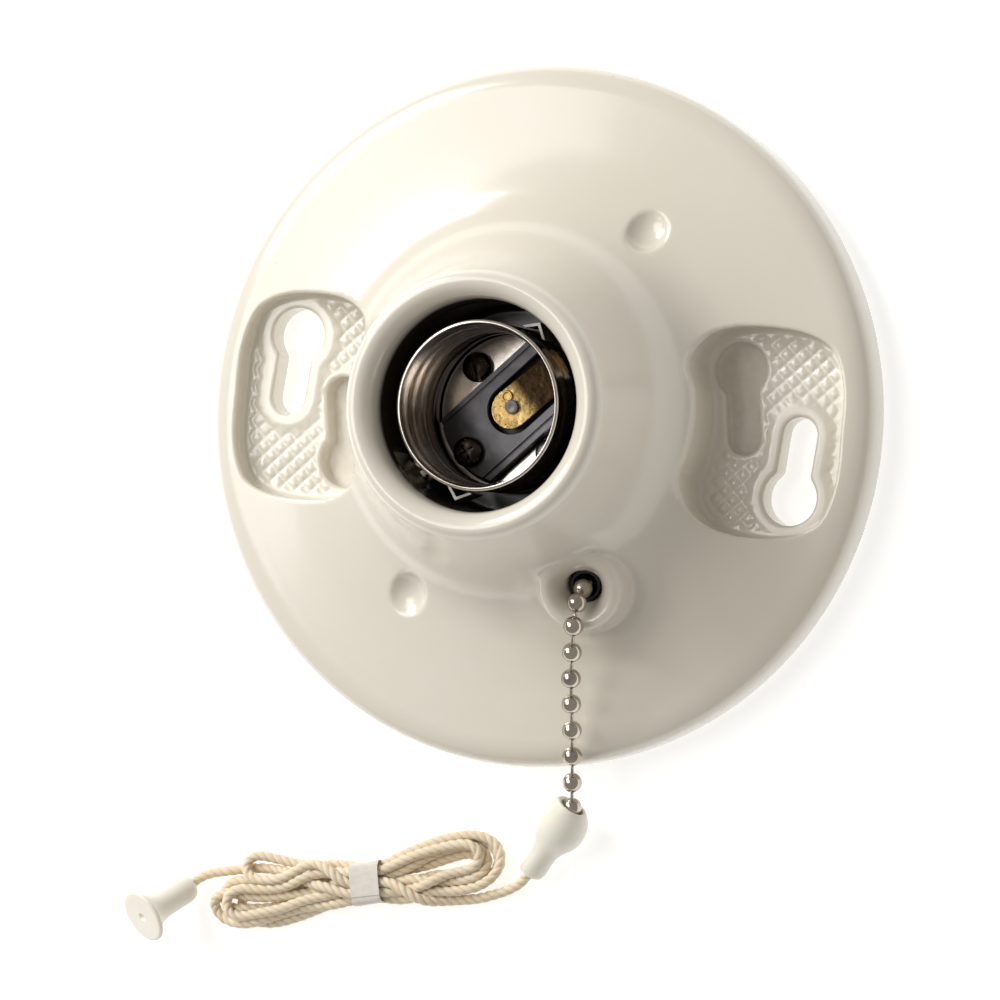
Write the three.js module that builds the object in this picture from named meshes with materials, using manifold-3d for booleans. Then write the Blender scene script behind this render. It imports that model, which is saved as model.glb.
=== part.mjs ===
// Pull-chain porcelain lampholder: socket, switch, bead chain, cord and pull.
// Millimetres. It lies on its back: z = 0 is the back face, +Z is the socket axis.
import * as THREE from 'three';
import { mergeVertices } from 'three/addons/utils/BufferGeometryUtils.js';
import Module from 'manifold-3d';

const wasm = await Module();
wasm.setup();

const DEG = Math.PI / 180;
const GAP = 0.3;                                   // between touching pieces

// ---- driving dimensions -------------------------------------------------
const FLANGE = { r: 57.15, wallTop: 6.1 };          // 4 1/2 in disc
const NECK = { boreR: 16.9, floorZ: 16.6, topZ: 38.4, windowR: 12.4, cavityR: 20.5, cavityTop: 13.3 };
const PAD = { floorZ: 4.7, collar: 0.5, slotHalf: 2.85, bigR: 4.5 };
const OUTER_KEY = { narrow: [44.45, 0], big: [43.55, -10.2], from: -1 };
const INNER_KEY = { narrow: [34.9, -1.1], big: [33.4, 9.75], from: 2.4 };
const DIMPLE = { at: [18.5, 31.7], ballR: 4.9, ballZ: 14.8 };
const CHANNEL = { azimuths: [40, 220], at: 16.3, r: 3.8, top: 31 };
const SHELL = { rimR: 13.74, crest: 13.5, wave: 0.32, pitch: 3.63, sheet: 0.5, floorZ: 17, rimZ: 35 };
const BAR = { azimuth: 45, halfWidth: 6.55, reach: 12, topZ: 20, slotZ: 17.6, slotR: 4.1 };
const TONGUE_AT = [0.3, 0.2];                       // centre of the contact's round end
const BEAD = { r: 1.6, pitch: 4.55, rod: 0.45 };
const SPOUT = { at: [13.85, -27.2, 16], tilt: 13, azimuth: -63.5, bore: 2.8, lipS: 3.6 };
const WHEEL = { beadR: 6.1, z: 5.2, core: 4.6, flange: 7.7, bore: 1.7 };
const CASE = { r: 19.9, wall: 2.1, bottom: 2.2, top: 13.0, roof: 1.6 };
const CORD = { r: 0.85 };

// ---- finishes -----------------------------------------------------------
const paint = (color, roughness, metalness = 0) =>
  () => new THREE.MeshStandardMaterial({ color, roughness, metalness });
const FINISH = {
  porcelain: paint(0xe9e3d3, 0.18),
  aluminium: paint(0xc9c4bb, 0.32, 1),
  nickel: paint(0xb9b4aa, 0.2, 1),
  steel: paint(0x55524e, 0.35, 1),
  brass: paint(0xc79a4b, 0.3, 1),
  phenolic: paint(0x3c3d46, 0.45),
  fibre: paint(0x4a4038, 0.8),
  liner: paint(0x15151a, 0.3),
  ivory: paint(0xe8e3d2, 0.4),
  cotton: paint(0xdccdb4, 0.95),
  paper: paint(0xe2dcd4, 0.85),
};

// ---- solids -------------------------------------------------------------
function solid(geometry) {
  const g = geometry.clone();
  g.deleteAttribute('normal');
  g.deleteAttribute('uv');
  const merged = mergeVertices(g, 1e-4);
  const vertProperties = new Float32Array(merged.attributes.position.array);
  const triVerts = new Uint32Array(merged.index.array);
  const make = () => new wasm.Manifold(new wasm.Mesh({ numProp: 3, vertProperties, triVerts }));
  const first = make();
  if (first.volume() > 0) return first;
  for (let i = 0; i < triVerts.length; i += 3) {
    [triVerts[i], triVerts[i + 1]] = [triVerts[i + 1], triVerts[i]];
  }
  return make();
}

function geometryOf(manifold) {
  const mesh = manifold.getMesh();
  const g = new THREE.BufferGeometry();
  const xyz = new Float32Array(mesh.numVert * 3);
  for (let i = 0; i < mesh.numVert; i++) {
    for (let k = 0; k < 3; k++) xyz[3 * i + k] = mesh.vertProperties[mesh.numProp * i + k];
  }
  g.setAttribute('position', new THREE.BufferAttribute(xyz, 3));
  g.setIndex(new THREE.BufferAttribute(new Uint32Array(mesh.triVerts), 1));
  g.computeVertexNormals();
  return g;
}

const join = (...parts) => parts.reduce((a, b) => a.add(b));
const cut = (body, ...tools) => tools.reduce((a, b) => a.subtract(b), body);
const vec = (p) => new THREE.Vector3(...p);
const polar = (r, azimuth, z = 0) => [r * Math.cos(azimuth * DEG), r * Math.sin(azimuth * DEG), z];

function moved(geometry, at, direction = [0, 0, 1], spin = 0) {
  const up = new THREE.Vector3(0, 0, 1);
  const turn = new THREE.Quaternion().setFromUnitVectors(up, vec(direction).normalize());
  const own = new THREE.Quaternion().setFromAxisAngle(up, spin * DEG);
  const m = new THREE.Matrix4().compose(vec(at), turn.multiply(own), new THREE.Vector3(1, 1, 1));
  return geometry.clone().applyMatrix4(m);
}

// Solid of revolution about +Z from a profile of [r, z] points.
function lathe(profile, segments) {
  const points = profile.map(([r, z]) => new THREE.Vector2(r, z));
  return new THREE.LatheGeometry(points, segments).rotateX(Math.PI / 2);
}

function rod(r, from, to, segments = 12) {
  const a = vec(from);
  const b = vec(to);
  const along = b.clone().sub(a);
  const g = new THREE.CylinderGeometry(r, r, along.length(), segments).rotateX(Math.PI / 2);
  return solid(moved(g, a.add(b).multiplyScalar(0.5).toArray(), along.toArray()));
}

function ring(outer, inner, z0, z1, segments = 24) {
  const profile = [[inner, z0], [outer, z0], [outer, z1], [inner, z1], [inner, z0]];
  return solid(lathe(profile, segments));
}

// A block from x0..x1, y0..y1, z0..z1, turned about Z by an azimuth.
function block([x0, x1], [y0, y1], [z0, z1], azimuth = 0) {
  const g = new THREE.BoxGeometry(x1 - x0, y1 - y0, z1 - z0);
  g.translate((x0 + x1) / 2, (y0 + y1) / 2, (z0 + z1) / 2);
  return solid(g.rotateZ(azimuth * DEG));
}

function prism(outline, z0, z1) {
  const shape = new THREE.Shape(outline.map(([x, y]) => new THREE.Vector2(x, y)));
  const g = new THREE.ExtrudeGeometry(shape, { depth: z1 - z0, bevelEnabled: false, steps: 1 });
  return solid(g.translate(0, 0, z0));
}

function ball(r, at, across = 12) {
  return solid(new THREE.SphereGeometry(r, across, Math.round(across * 0.67)).translate(...at));
}

// ---- porcelain ----------------------------------------------------------
const GLAZE_PROFILE = [
  [57.15, 0], [57.15, 6.1], [56.2, 7.5], [53.9, 8.3], [44, 9.5], [38, 10.4], [33, 12], [30.4, 13.2],
  [28.3, 15], [26, 18.5], [24.4, 22.5], [23, 28], [22.3, 32.5], [21.9, 35.5], [21.3, 37.4],
  [20.2, 38.4], [18.7, 38], [17.5, 36.8], [16.9, 35],
];
const SPOUT_PROFILE = [
  [0, -7], [9.4, -7], [9.2, -4.4], [7.9, -2.4], [7.1, 0.4], [6.8, 2.2], [6.5, 3.1],
  [5.6, 3.6], [4.6, 3.1], [3.5, 1.6], [2.8, -0.6], [0, -0.6],
];
const PAD_OUTLINE = [
  [28.0, 10.5], [29.4, 5.5], [29.8, 1], [29.3, -4], [28.0, -9.5], [29.6, -14], [34, -16.6],
  [44.5, -16.7], [49.5, -14.2], [51.9, -8], [52.2, 0], [51.9, 8.5], [49.6, 14], [45, 16.2],
  [34.5, 16.4], [30, 14.6],
];

const spoutAxis = polar(Math.sin(SPOUT.tilt * DEG), SPOUT.azimuth, Math.cos(SPOUT.tilt * DEG));
const onSpout = (s) => SPOUT.at.map((v, k) => v + s * spoutAxis[k]);

// Outline of a keyhole: a round head and a narrow slot, grown by a margin.
function keyhole(key, margin, z0, z1, flip) {
  const place = ([x, y], z) => [flip * x, flip * y, z];
  const slot = PAD.slotHalf + margin;
  const [nx, ny] = key.narrow;
  const [bx, by] = key.big;
  const length = Math.hypot(bx - nx, by - ny);
  const g = new THREE.BoxGeometry(2 * slot, length, z1 - z0);
  const angle = Math.atan2(by - ny, bx - nx) / DEG - 90;
  const middle = place([(nx + bx) / 2, (ny + by) / 2], (z0 + z1) / 2);
  return join(
    rod(PAD.bigR + margin, place(key.big, z0), place(key.big, z1), 20),
    rod(slot, place(key.narrow, z0), place(key.narrow, z1), 16),
    solid(moved(g, middle, [0, 0, 1], angle)),
  );
}

function porcelainBody() {
  const { boreR, floorZ, windowR, cavityR, cavityTop } = NECK;
  const outside = [[0, 0], ...GLAZE_PROFILE, [0, 35]];
  const spout = solid(moved(lathe(SPOUT_PROFILE, 22), SPOUT.at, spoutAxis));
  let body = cut(
    join(solid(lathe(outside, 56)), spout),
    rod(boreR, [0, 0, floorZ], [0, 0, 45], 56),
    rod(windowR, [0, 0, 1], [0, 0, 20], 40),
    rod(cavityR, [0, 0, -1], [0, 0, cavityTop], 56),
  );
  for (const side of [1, -1]) {
    const outline = PAD_OUTLINE.map(([x, y]) => [side * x, side * y]);
    const collar = keyhole(OUTER_KEY, 2.4, PAD.floorZ - 0.5, PAD.floorZ + PAD.collar, side);
    body = cut(body, prism(outline, PAD.floorZ, 20));
    body = body.add(collar.intersect(prism(outline, 0, 20)));
    body = cut(
      body,
      keyhole(OUTER_KEY, 0, OUTER_KEY.from, 8, side),
      keyhole(INNER_KEY, 0, INNER_KEY.from, 8, side),
      ball(DIMPLE.ballR, [side * DIMPLE.at[0], side * DIMPLE.at[1], DIMPLE.ballZ], 24),
    );
  }
  const wireway = (azimuth) => [12, CHANNEL.top].map((z) => polar(CHANNEL.at, azimuth, z));
  for (const azimuth of CHANNEL.azimuths) body = cut(body, rod(CHANNEL.r, ...wireway(azimuth), 20));
  return cut(body, rod(SPOUT.bore, corner, onSpout(0), 16), rod(2.6, runStart, pastCorner, 12));
}

// ---- chain route --------------------------------------------------------
// The upright run lies on the spout axis; the level run leaves the wheel and meets it underneath.
const corner = onSpout((WHEEL.z - SPOUT.at[2]) / spoutAxis[2]);
const reach = Math.hypot(corner[0], corner[1]);
const runAzimuth = Math.atan2(corner[1], corner[0]) / DEG + Math.asin(WHEEL.beadR / reach) / DEG;
const runAxis = polar(1, runAzimuth);
const runLength = Math.sqrt(reach ** 2 - WHEEL.beadR ** 2);
const onRun = (s) => corner.map((v, k) => v - (runLength - s) * runAxis[k]);
const runStart = onRun(19);
const pastCorner = onRun(runLength + 1.5);

const FEED = [2, 2 + BEAD.pitch, 2 + 2 * BEAD.pitch, 2 + 3 * BEAD.pitch].map(onRun);
const THROAT = [13.95, -27.5, 16.6];
const inward = (n) => THROAT.map((v, k) => v - n * BEAD.pitch * spoutAxis[k]);
const INNER = [inward(2), inward(1), THROAT, [14.3, -29.9, 20]];
const OUTER = [
  [14.2, -33.7, 20.4], [13.65, -37.9, 18.5], [13.2, -42.1, 16.6], [12.95, -46.2, 14.7],
  [12.75, -50.4, 12.8], [12.5, -54.6, 10.9], [12.2, -58.9, 9.0], [11.85, -62.9, 7.1],
];

// A hollow bead's outer form with the link rod that reaches toward the next bead.
function beadWithRod(at, next) {
  const body = ball(BEAD.r, at, 10);
  if (!next) return body;
  const along = vec(next).sub(vec(at));
  const tip = along.length() - BEAD.r - GAP;
  const end = vec(at).add(along.normalize().multiplyScalar(tip)).toArray();
  return body.add(rod(BEAD.rod, at, end, 6));
}

// ---- socket -------------------------------------------------------------
function screwShell() {
  const { crest, wave, pitch, sheet, floorZ, rimZ, rimR } = SHELL;
  const outside = [[crest - 0.3, floorZ]];
  const steps = 13;
  const low = 20.6;
  const high = 33.6;
  for (let i = 0; i <= steps; i++) {
    const z = low + ((high - low) * i) / steps;
    outside.push([crest - wave * (1 + Math.cos((2 * Math.PI * (z - low)) / pitch)), z]);
  }
  outside.push([rimR, rimZ - 0.7], [rimR, rimZ - 0.2], [rimR - 0.25, rimZ]);
  const inside = outside.map(([r, z]) => [r - sheet, z]).reverse();
  inside[0] = [rimR - 0.75, rimZ - 0.1];
  inside[inside.length - 1] = [crest - 0.3 - sheet, floorZ + sheet];
  const wall = solid(lathe([[0, floorZ], ...outside, ...inside, [0, floorZ + sheet]], 28));
  const half = BAR.halfWidth + GAP;
  const slot = block([-20, 20], [-half, half], [16, 20.4], BAR.azimuth);
  const keepWall = ring(20, crest - 1.5, 16, 21, 28);
  const holes = FLOOR_SCREWS.map(({ at }) => rod(1.6, [...at, 16], [...at, 19], 12));
  return cut(wall, cut(slot, keepWall), ...holes);
}

const FLOOR_SCREWS = [
  { name: 'shell_screw_slotted', at: [-6.8, 6.65], seat: 17.5, headR: 2.45, head: 1.5, drive: 'slot' },
  { name: 'bar_screw_cross', at: [-6.2, -7.2], seat: 20, headR: 2.45, head: 1.4, drive: 'cross' },
  { name: 'shell_rivet', at: [6.5, -6.3], seat: 17.5, headR: 2.2, head: 0.9, drive: 'none' },
];

function floorScrew({ at, seat, headR, head, drive }) {
  const low = seat + GAP / 2;
  const top = low + head;
  const dome = [[0, low], [headR, low], [headR, low + 0.55 * head], [headR * 0.7, top], [0, top]];
  const body = solid(lathe(dome, 18).translate(...at, 0));
  const shank = rod(1.1, [...at, 11.6], [...at, low + 0.2], 10);
  const groove = (turn) => {
    const g = new THREE.BoxGeometry(2 * headR + 1, 0.6, 1);
    return solid(moved(g, [...at, top], [0, 0, 1], turn));
  };
  const tools = { slot: [groove(20)], cross: [groove(35), groove(125)], none: [] }[drive];
  return cut(body.add(shank), ...tools);
}

// Phenolic top of the switch: a disc under the shell floor with a bar standing through it.
function bridgeBar() {
  const { reach: half, halfWidth } = BAR;
  const bar = block([-half, half], [-halfWidth, halfWidth], [16, BAR.topZ], BAR.azimuth);
  const round = rod(11.7, [0, 0, 10], [0, 0, 30], 28);
  const [sx, sy] = TONGUE_AT;
  const recess = block([0, 20], [-3.7, 3.7], [BAR.slotZ, 22], BAR.azimuth).translate([sx, sy, 0]);
  const eye = rod(BAR.slotR, [sx, sy, BAR.slotZ], [sx, sy, 22], 24);
  const holes = FLOOR_SCREWS.map(({ at }) => rod(1.45, [...at, 10], [...at, 21], 12));
  const post = rod(1.4, polar(9.3, BAR.azimuth, 12), polar(9.3, BAR.azimuth, 19), 12);
  const core = rod(12, [0, 0, NECK.cavityTop + 0.1], [0, 0, 16.65], 28);
  return cut(join(core, bar.intersect(round)), recess, eye, ...holes, post);
}

// Brass tongue: it leans up from its post to a round end over the socket axis.
function contactTongue() {
  const half = 3.2;
  const g = new THREE.BoxGeometry(9.2, 2 * half, 0.5);
  const rise = 10;
  const strip = solid(g.translate(-4.6, 0, 0).rotateY(rise * DEG).translate(9.6, 0, 18.55));
  const tip = [9.6 - 9.2 * Math.cos(rise * DEG), 0, 18.55 + 9.2 * Math.sin(rise * DEG)];
  const along = [Math.sin(rise * DEG), 0, Math.cos(rise * DEG)];
  const end = new THREE.CylinderGeometry(half, half, 0.5, 24).rotateX(Math.PI / 2);
  const hole = new THREE.CylinderGeometry(1.1, 1.1, 3, 12).rotateX(Math.PI / 2);
  const flat = cut(strip.add(solid(moved(end, tip, along))), solid(moved(hole, tip, along)));
  const hook = block([9.5, 11.2], [-half, half], [18.25, 18.8]);
  return join(flat, hook).rotate([0, 0, BAR.azimuth]).translate([...TONGUE_AT, 0]);
}

function contactButton() {
  const at = [TONGUE_AT[0] + 0.42, TONGUE_AT[1] + 0.4];
  const profile = [[0, 19.4], [0.85, 19.4], [0.85, 20.75], [1.5, 20.75], [1.4, 21.3], [0.8, 21.6], [0, 21.6]];
  return solid(lathe(profile, 16).translate(...at, 0));
}

function tonguePost() {
  const at = polar(9.3, BAR.azimuth);
  const stud = rod(1.1, [at[0], at[1], 11.3], [at[0], at[1], 17.9], 12);
  return stud.add(rod(1.9, [at[0], at[1], BAR.slotZ + 0.1], [at[0], at[1], 17.95], 14));
}

// ---- terminals ----------------------------------------------------------
function terminalPlate(azimuth, legBottom, armTo) {
  const plate = block([14.0, 18.6], [-2.4, 2.4], [23.2, 24]);
  const leg = block([14.1, 14.8], [-1.8, 1.8], [legBottom, 23.6]);
  const hole = rod(1.3, [17, 0, 20], [17, 0, 26], 12);
  let body = cut(plate.add(leg), hole);
  if (armTo) body = body.add(block([armTo, 14.8], [-1.8, 1.8], [legBottom, legBottom + 0.5]));
  return body.rotate([0, 0, azimuth]);
}

function terminalScrew(azimuth) {
  const [x, y] = polar(17, azimuth);
  const head = [[0, 24.15], [2.2, 24.15], [2.2, 25.3], [1.5, 25.8], [0, 25.8]];
  const body = solid(lathe(head, 16).translate(x, y, 0)).add(rod(1, [x, y, 20], [x, y, 24.3], 10));
  const groove = new THREE.BoxGeometry(5, 0.6, 1);
  return cut(body, solid(moved(groove, [x, y, 25.8], [0, 0, 1], azimuth + 70)));
}

// Folded spring strip that wedges the shell in the porcelain.
function shellClip(azimuth) {
  const fold = [[13.95, -2.3], [15.9, 0], [13.95, 2.3], [13.95, 1.7], [15.3, 0], [13.95, -1.7]];
  return prism(fold.map(([x, y]) => [x, y]), 24, 29.5).rotate([0, 0, azimuth]);
}

// ---- switch -------------------------------------------------------------
function switchCase() {
  const { r, wall, bottom, top, roof } = CASE;
  const inner = r - wall;
  const ceiling = top - roof;
  const profile = [
    [0, top], [0, ceiling], [inner, ceiling], [inner, bottom], [r, bottom], [r, top], [0, top],
  ];
  const slot = block([13.7, 15.2], [-2.2, 2.2], [10, 14], CHANNEL.azimuths[0]);
  const holes = FLOOR_SCREWS.map(({ at }) => rod(1.45, [...at, 10], [...at, 14], 12));
  const post = rod(1.45, polar(9.3, BAR.azimuth, 10), polar(9.3, BAR.azimuth, 14), 12);
  const gate = rod(2.2, onRun(14), onRun(24), 12);
  const bosses = COVER_SCREWS.map(([x, y]) => rod(2.6, [x, y, bottom], [x, y, 11.8], 12));
  const sockets = COVER_SCREWS.map(([x, y]) => rod(1.2, [x, y, 1], [x, y, 8.5], 10));
  return cut(join(solid(lathe(profile, 32)), ...bosses), slot, ...holes, post, gate, ...sockets);
}

const COVER_SCREWS = [polar(15.6, 150).slice(0, 2), polar(15.6, -15).slice(0, 2)];

function caseCover() {
  const plate = rod(19.6, [0, 0, 1.0], [0, 0, 1.9], 32);
  return cut(plate, ...COVER_SCREWS.map(([x, y]) => rod(1.25, [x, y, 0], [x, y, 3], 12)));
}

function coverScrew([x, y]) {
  return join(rod(2, [x, y, 0.2], [x, y, 0.85], 14), rod(0.9, [x, y, 0.5], [x, y, 7.5], 10));
}

const arborPin = () => rod(1.5, [0, 0, 2.2], [0, 0, 9.9], 16);

function pullWheel() {
  const { core, flange, bore, z, beadR } = WHEEL;
  const low = z - 1.7;
  const high = z + 1.7;
  const profile = [
    [bore, low - 0.5], [flange, low - 0.5], [flange, low], [core, low], [core, high], [flange, high],
    [flange, high + 0.5], [bore, high + 0.5], [bore, low - 0.5],
  ];
  const wound = [1, 2, 3].map((n) => {
    const back = (2 - n * BEAD.pitch) / beadR / DEG;
    return ball(BEAD.r + 0.05, polar(beadR, runAzimuth - 90 + back, z), 12);
  });
  return join(solid(lathe(profile, 22)), ...wound);
}

function returnSpring() {
  const turns = 2.6;
  const steps = 40;
  const edge = (shift) => (_, i) => {
    const a = (2 * Math.PI * turns * i) / steps;
    const r = 3.2 + (3.9 * i) / steps + shift;
    return [r * Math.cos(a), r * Math.sin(a)];
  };
  const outer = Array.from({ length: steps + 1 }, edge(0.25));
  const inner = Array.from({ length: steps + 1 }, edge(-0.25)).reverse();
  return prism([...outer, ...inner], 7.65, 8.2);
}

function ratchetRotor() {
  const outline = [];
  for (let lobe = 0; lobe < 4; lobe++) {
    for (const [turn, r] of [[0, 4.6], [8, 6], [45, 5.4], [82, 4.7]]) {
      outline.push(polar(r, CHANNEL.azimuths[0] + 90 * lobe + turn).slice(0, 2));
    }
  }
  return cut(prism(outline, 8.4, 9.15), rod(WHEEL.bore, [0, 0, 8], [0, 0, 10], 16));
}

function contactBlade() {
  const bar = block([-8.6, 8.6], [-1.7, 1.7], [9.3, 9.75]);
  const hub = rod(3, [0, 0, 9.3], [0, 0, 9.75], 16);
  return cut(join(bar, hub), rod(WHEEL.bore, [0, 0, 9], [0, 0, 10], 16)).rotate([0, 0, CHANNEL.azimuths[0]]);
}

function loadContact() {
  const strip = block([-11, 11.2], [-1.8, 1.8], [10.3, 10.9], 43);
  const tip = block([-11, -9], [-1.8, 1.8], [9.3, 10.6], 43);
  return join(strip, tip);
}

function pawl() {
  const leaf = block([6.4, 16.6], [-1.3, -0.8], [8.4, 9.15]);
  const foot = block([16.1, 16.6], [-1.3, 1.6], [8.4, 9.15]);
  return leaf.add(foot).rotate([0, 0, -80]);
}

// ---- cord ---------------------------------------------------------------
const LEAD_ROUTE = [
  [5.1, -72.5, 3.25], [3.9, -74.3, 2.85], [2.6, -75.8, 2.2], [1.0, -76.9, 1.5],
  [-1.0, -77.9, 1.15], [-3.1, -78.7, 1.1], [-5.2, -79.4, 1.1],
];
const TAIL_ROUTE = [
  [-46.7, -78.2, 1.6], [-48.4, -78.7, 1.3], [-50.4, -79.05, 1.15], [-52.3, -79.5, 1.1], [-53.8, -80.15, 1.15],
  [-54.8, -80.9, 1.35],
];
const HANK_OUTLINE = [
  [-22, -75.6], [-19, -73.1], [-12.3, -70], [-7.2, -68.2], [-3.7, -68.2], [-1.3, -70], [-0.5, -72.6],
  [-1.6, -75.8], [-6.1, -78.3], [-13.1, -79.9], [-21.4, -80.7], [-26.6, -81.8], [-30.4, -83.1],
  [-35.5, -85.6], [-40.7, -87.4], [-47, -87], [-50.3, -86], [-50.8, -83.9], [-49.2, -80.7],
  [-45.8, -79.1], [-45.5, -76.4], [-43.4, -75.2], [-38.3, -75.4], [-32.9, -75.5], [-27.2, -76.2],
];
const TIE = { at: [-24.3, -78.6], turn: 5, length: 5, width: 6.9, height: 4.9, sheet: 0.25 };

function tube(route, r, sides = 8) {
  const curve = new THREE.CatmullRomCurve3(route.map(vec), false, 'centripetal');
  const shape = new THREE.Shape();
  for (let i = 0; i < sides; i++) {
    const a = (2 * Math.PI * i) / sides;
    shape[i ? 'lineTo' : 'moveTo'](r * Math.cos(a), r * Math.sin(a));
  }
  shape.closePath();
  return solid(new THREE.ExtrudeGeometry(shape, { steps: 12, bevelEnabled: false, extrudePath: curve }));
}

function cordHank() {
  const [x, y] = TIE.at;
  const half = TIE.length / 2 + GAP;
  const waist = block([-half, half], [-6, 6], [-1, 9], TIE.turn).translate([x, y, 0]);
  const inner = block([-4, 4], [-2.85, 2.85], [0.7, 4.2], TIE.turn).translate([x, y, 0]);
  const full = prism(HANK_OUTLINE, 0.3, 4.4);
  return join(cut(full, waist), full.intersect(inner));
}

function hankTie() {
  const { length, width, height, sheet, at, turn } = TIE;
  const low = 0.05;
  const side = width / 2;
  const outer = block([-length / 2, length / 2], [-side, side], [low, low + height]);
  const hole = block([-length, length], [sheet - side, side - sheet], [low + sheet, low + height - sheet]);
  return cut(outer, hole).rotate([0, 0, turn]).translate([...at, 0]);
}

// Bell coupling: a bulb that takes the last bead and a barrel that grips the cord.
const BULB = [9.25, -66.5, 4.6];
const BARREL_END = [3.9, -74.3, 2.85];
function cordConnector() {
  const along = vec(BARREL_END).sub(vec(BULB));
  const length = along.length();
  const profile = [
    [0, -4.1], [1.7, -3.75], [3.1, -2.7], [3.95, -1.1], [4.2, -0.3], [4.2, 0.3], [3.9, 1.4],
    [3.1, 2.9], [2.45, 4.2], [2.3, 5.4], [2.3, length - 0.8], [1.9, length], [0, length],
  ];
  const body = solid(moved(lathe(profile, 16), BULB, along.toArray()));
  const mouth = rod(2.05, BULB, onward(BULB, OUTER.at(-1), 9), 14);
  const cordHole = rod(1.25, onward(BARREL_END, BULB, 3), onward(BARREL_END, BULB, -2), 10);
  return cut(body, mouth, cordHole);
}

function onward(from, toward, distance) {
  const step = vec(toward).sub(vec(from)).normalize().multiplyScalar(distance);
  return vec(from).add(step).toArray();
}

// Bell-shaped pull at the cord's end, standing on its narrow end.
const PULL = { foot: [-55.5, -81.8, 1.9], axis: [-0.455, -0.52, 0.72], length: 11 };
function cordPull() {
  const { foot, axis, length } = PULL;
  const profile = [
    [0, 0], [1.5, 0.1], [2.1, 0.6], [2.35, 1.6], [2.45, 6.4], [2.9, 8.2], [4.3, length - 0.9],
    [4.6, length - 0.4], [4.4, length], [0, length],
  ];
  const body = solid(moved(lathe(profile, 16), foot, axis));
  const top = onward(foot, foot.map((v, k) => v + axis[k]), length);
  return cut(body, rod(0.6, top, onward(top, foot, 1.5), 8));
}

// ---- assembly -----------------------------------------------------------
const group = new THREE.Group();
group.name = 'pull_chain_lampholder';

function add(name, finish, manifold) {
  const mesh = new THREE.Mesh(geometryOf(manifold), FINISH[finish]());
  mesh.name = name;
  group.add(mesh);
}

add('porcelain_body', 'porcelain', porcelainBody());
add('chain_bushing', 'liner', cut(
  rod(2.5, onSpout(-5.5), onSpout(-0.9), 16),
  rod(2.05, onSpout(-7), onSpout(1), 16),
));
add('screw_shell', 'aluminium', screwShell());
add('bridge_bar', 'phenolic', bridgeBar());
for (const screw of FLOOR_SCREWS) {
  add(screw.name, screw.drive === 'none' ? 'aluminium' : 'steel', floorScrew(screw));
}
add('contact_tongue', 'brass', contactTongue());
add('contact_button', 'nickel', contactButton());
add('tongue_post', 'brass', tonguePost());
add('hot_terminal', 'brass', terminalPlate(CHANNEL.azimuths[0], 9.3, 8.95));
add('hot_terminal_screw', 'brass', terminalScrew(CHANNEL.azimuths[0]));
add('neutral_terminal', 'nickel', terminalPlate(CHANNEL.azimuths[1], 17.2, null));
add('neutral_terminal_screw', 'nickel', terminalScrew(CHANNEL.azimuths[1]));
add('shell_clip_front', 'nickel', shellClip(-106));
add('shell_clip_rear', 'nickel', shellClip(62));

add('switch_case', 'phenolic', switchCase());
add('case_cover', 'fibre', caseCover());
COVER_SCREWS.forEach((at, i) => add(`cover_screw_${i + 1}`, 'steel', coverScrew(at)));
add('arbor_pin', 'steel', arborPin());
add('pull_wheel', 'phenolic', pullWheel());
add('return_spring', 'steel', returnSpring());
add('ratchet_rotor', 'fibre', ratchetRotor());
add('contact_blade', 'brass', contactBlade());
add('load_contact', 'brass', loadContact());
add('pawl', 'steel', pawl());

FEED.forEach((at, i) => add(`feed_bead_${i + 1}`, 'nickel', beadWithRod(at, FEED[i + 1])));
INNER.forEach((at, i) => add(`inner_bead_${i + 1}`, 'nickel', beadWithRod(at, INNER[i + 1])));
OUTER.forEach((at, i) => add(`outer_bead_${i + 1}`, 'nickel', beadWithRod(at, OUTER[i - 1] ?? INNER.at(-1))));

add('cord_connector', 'ivory', cordConnector());
add('cord_lead', 'cotton', tube(LEAD_ROUTE, CORD.r));
add('cord_hank', 'cotton', cordHank());
add('hank_tie', 'paper', hankTie());
add('cord_tail', 'cotton', tube(TAIL_ROUTE, CORD.r));
add('cord_pull', 'ivory', cordPull());

export default group;
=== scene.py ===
"""Porcelain pull-chain lampholder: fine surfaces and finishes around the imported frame.

Shapes are described in millimetres in the part's own frame and written to Blender in metres.
"""
import math

import bmesh
import bpy
import numpy as np
from mathutils import Matrix, Vector


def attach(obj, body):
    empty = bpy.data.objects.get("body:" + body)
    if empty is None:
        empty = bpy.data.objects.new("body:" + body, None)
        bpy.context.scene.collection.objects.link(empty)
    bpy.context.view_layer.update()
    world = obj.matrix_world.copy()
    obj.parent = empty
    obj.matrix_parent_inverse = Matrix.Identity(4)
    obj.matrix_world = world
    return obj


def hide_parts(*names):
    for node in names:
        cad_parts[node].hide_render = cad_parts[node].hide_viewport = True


MM = 0.001
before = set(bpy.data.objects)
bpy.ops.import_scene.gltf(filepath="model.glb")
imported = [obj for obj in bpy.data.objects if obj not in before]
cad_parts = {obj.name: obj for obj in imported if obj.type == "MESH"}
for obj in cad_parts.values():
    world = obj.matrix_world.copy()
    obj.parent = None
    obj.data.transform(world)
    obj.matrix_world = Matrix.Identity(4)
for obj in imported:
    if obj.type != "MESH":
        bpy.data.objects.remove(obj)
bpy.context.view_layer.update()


def linked(name, data):
    """A new object in the scene."""
    obj = bpy.data.objects.new(name, data)
    bpy.context.scene.collection.objects.link(obj)
    return obj


# ---- camera ----
SENSOR, FOCAL = 36, 264
CAMERA_AT = (0.40972, -0.03289, 1.12557)
CAMERA_RIGHT = Vector((0.9347, 0.0849, -0.3452))
CAMERA_UP = Vector((-0.0742, 0.9963, 0.0441))


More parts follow.
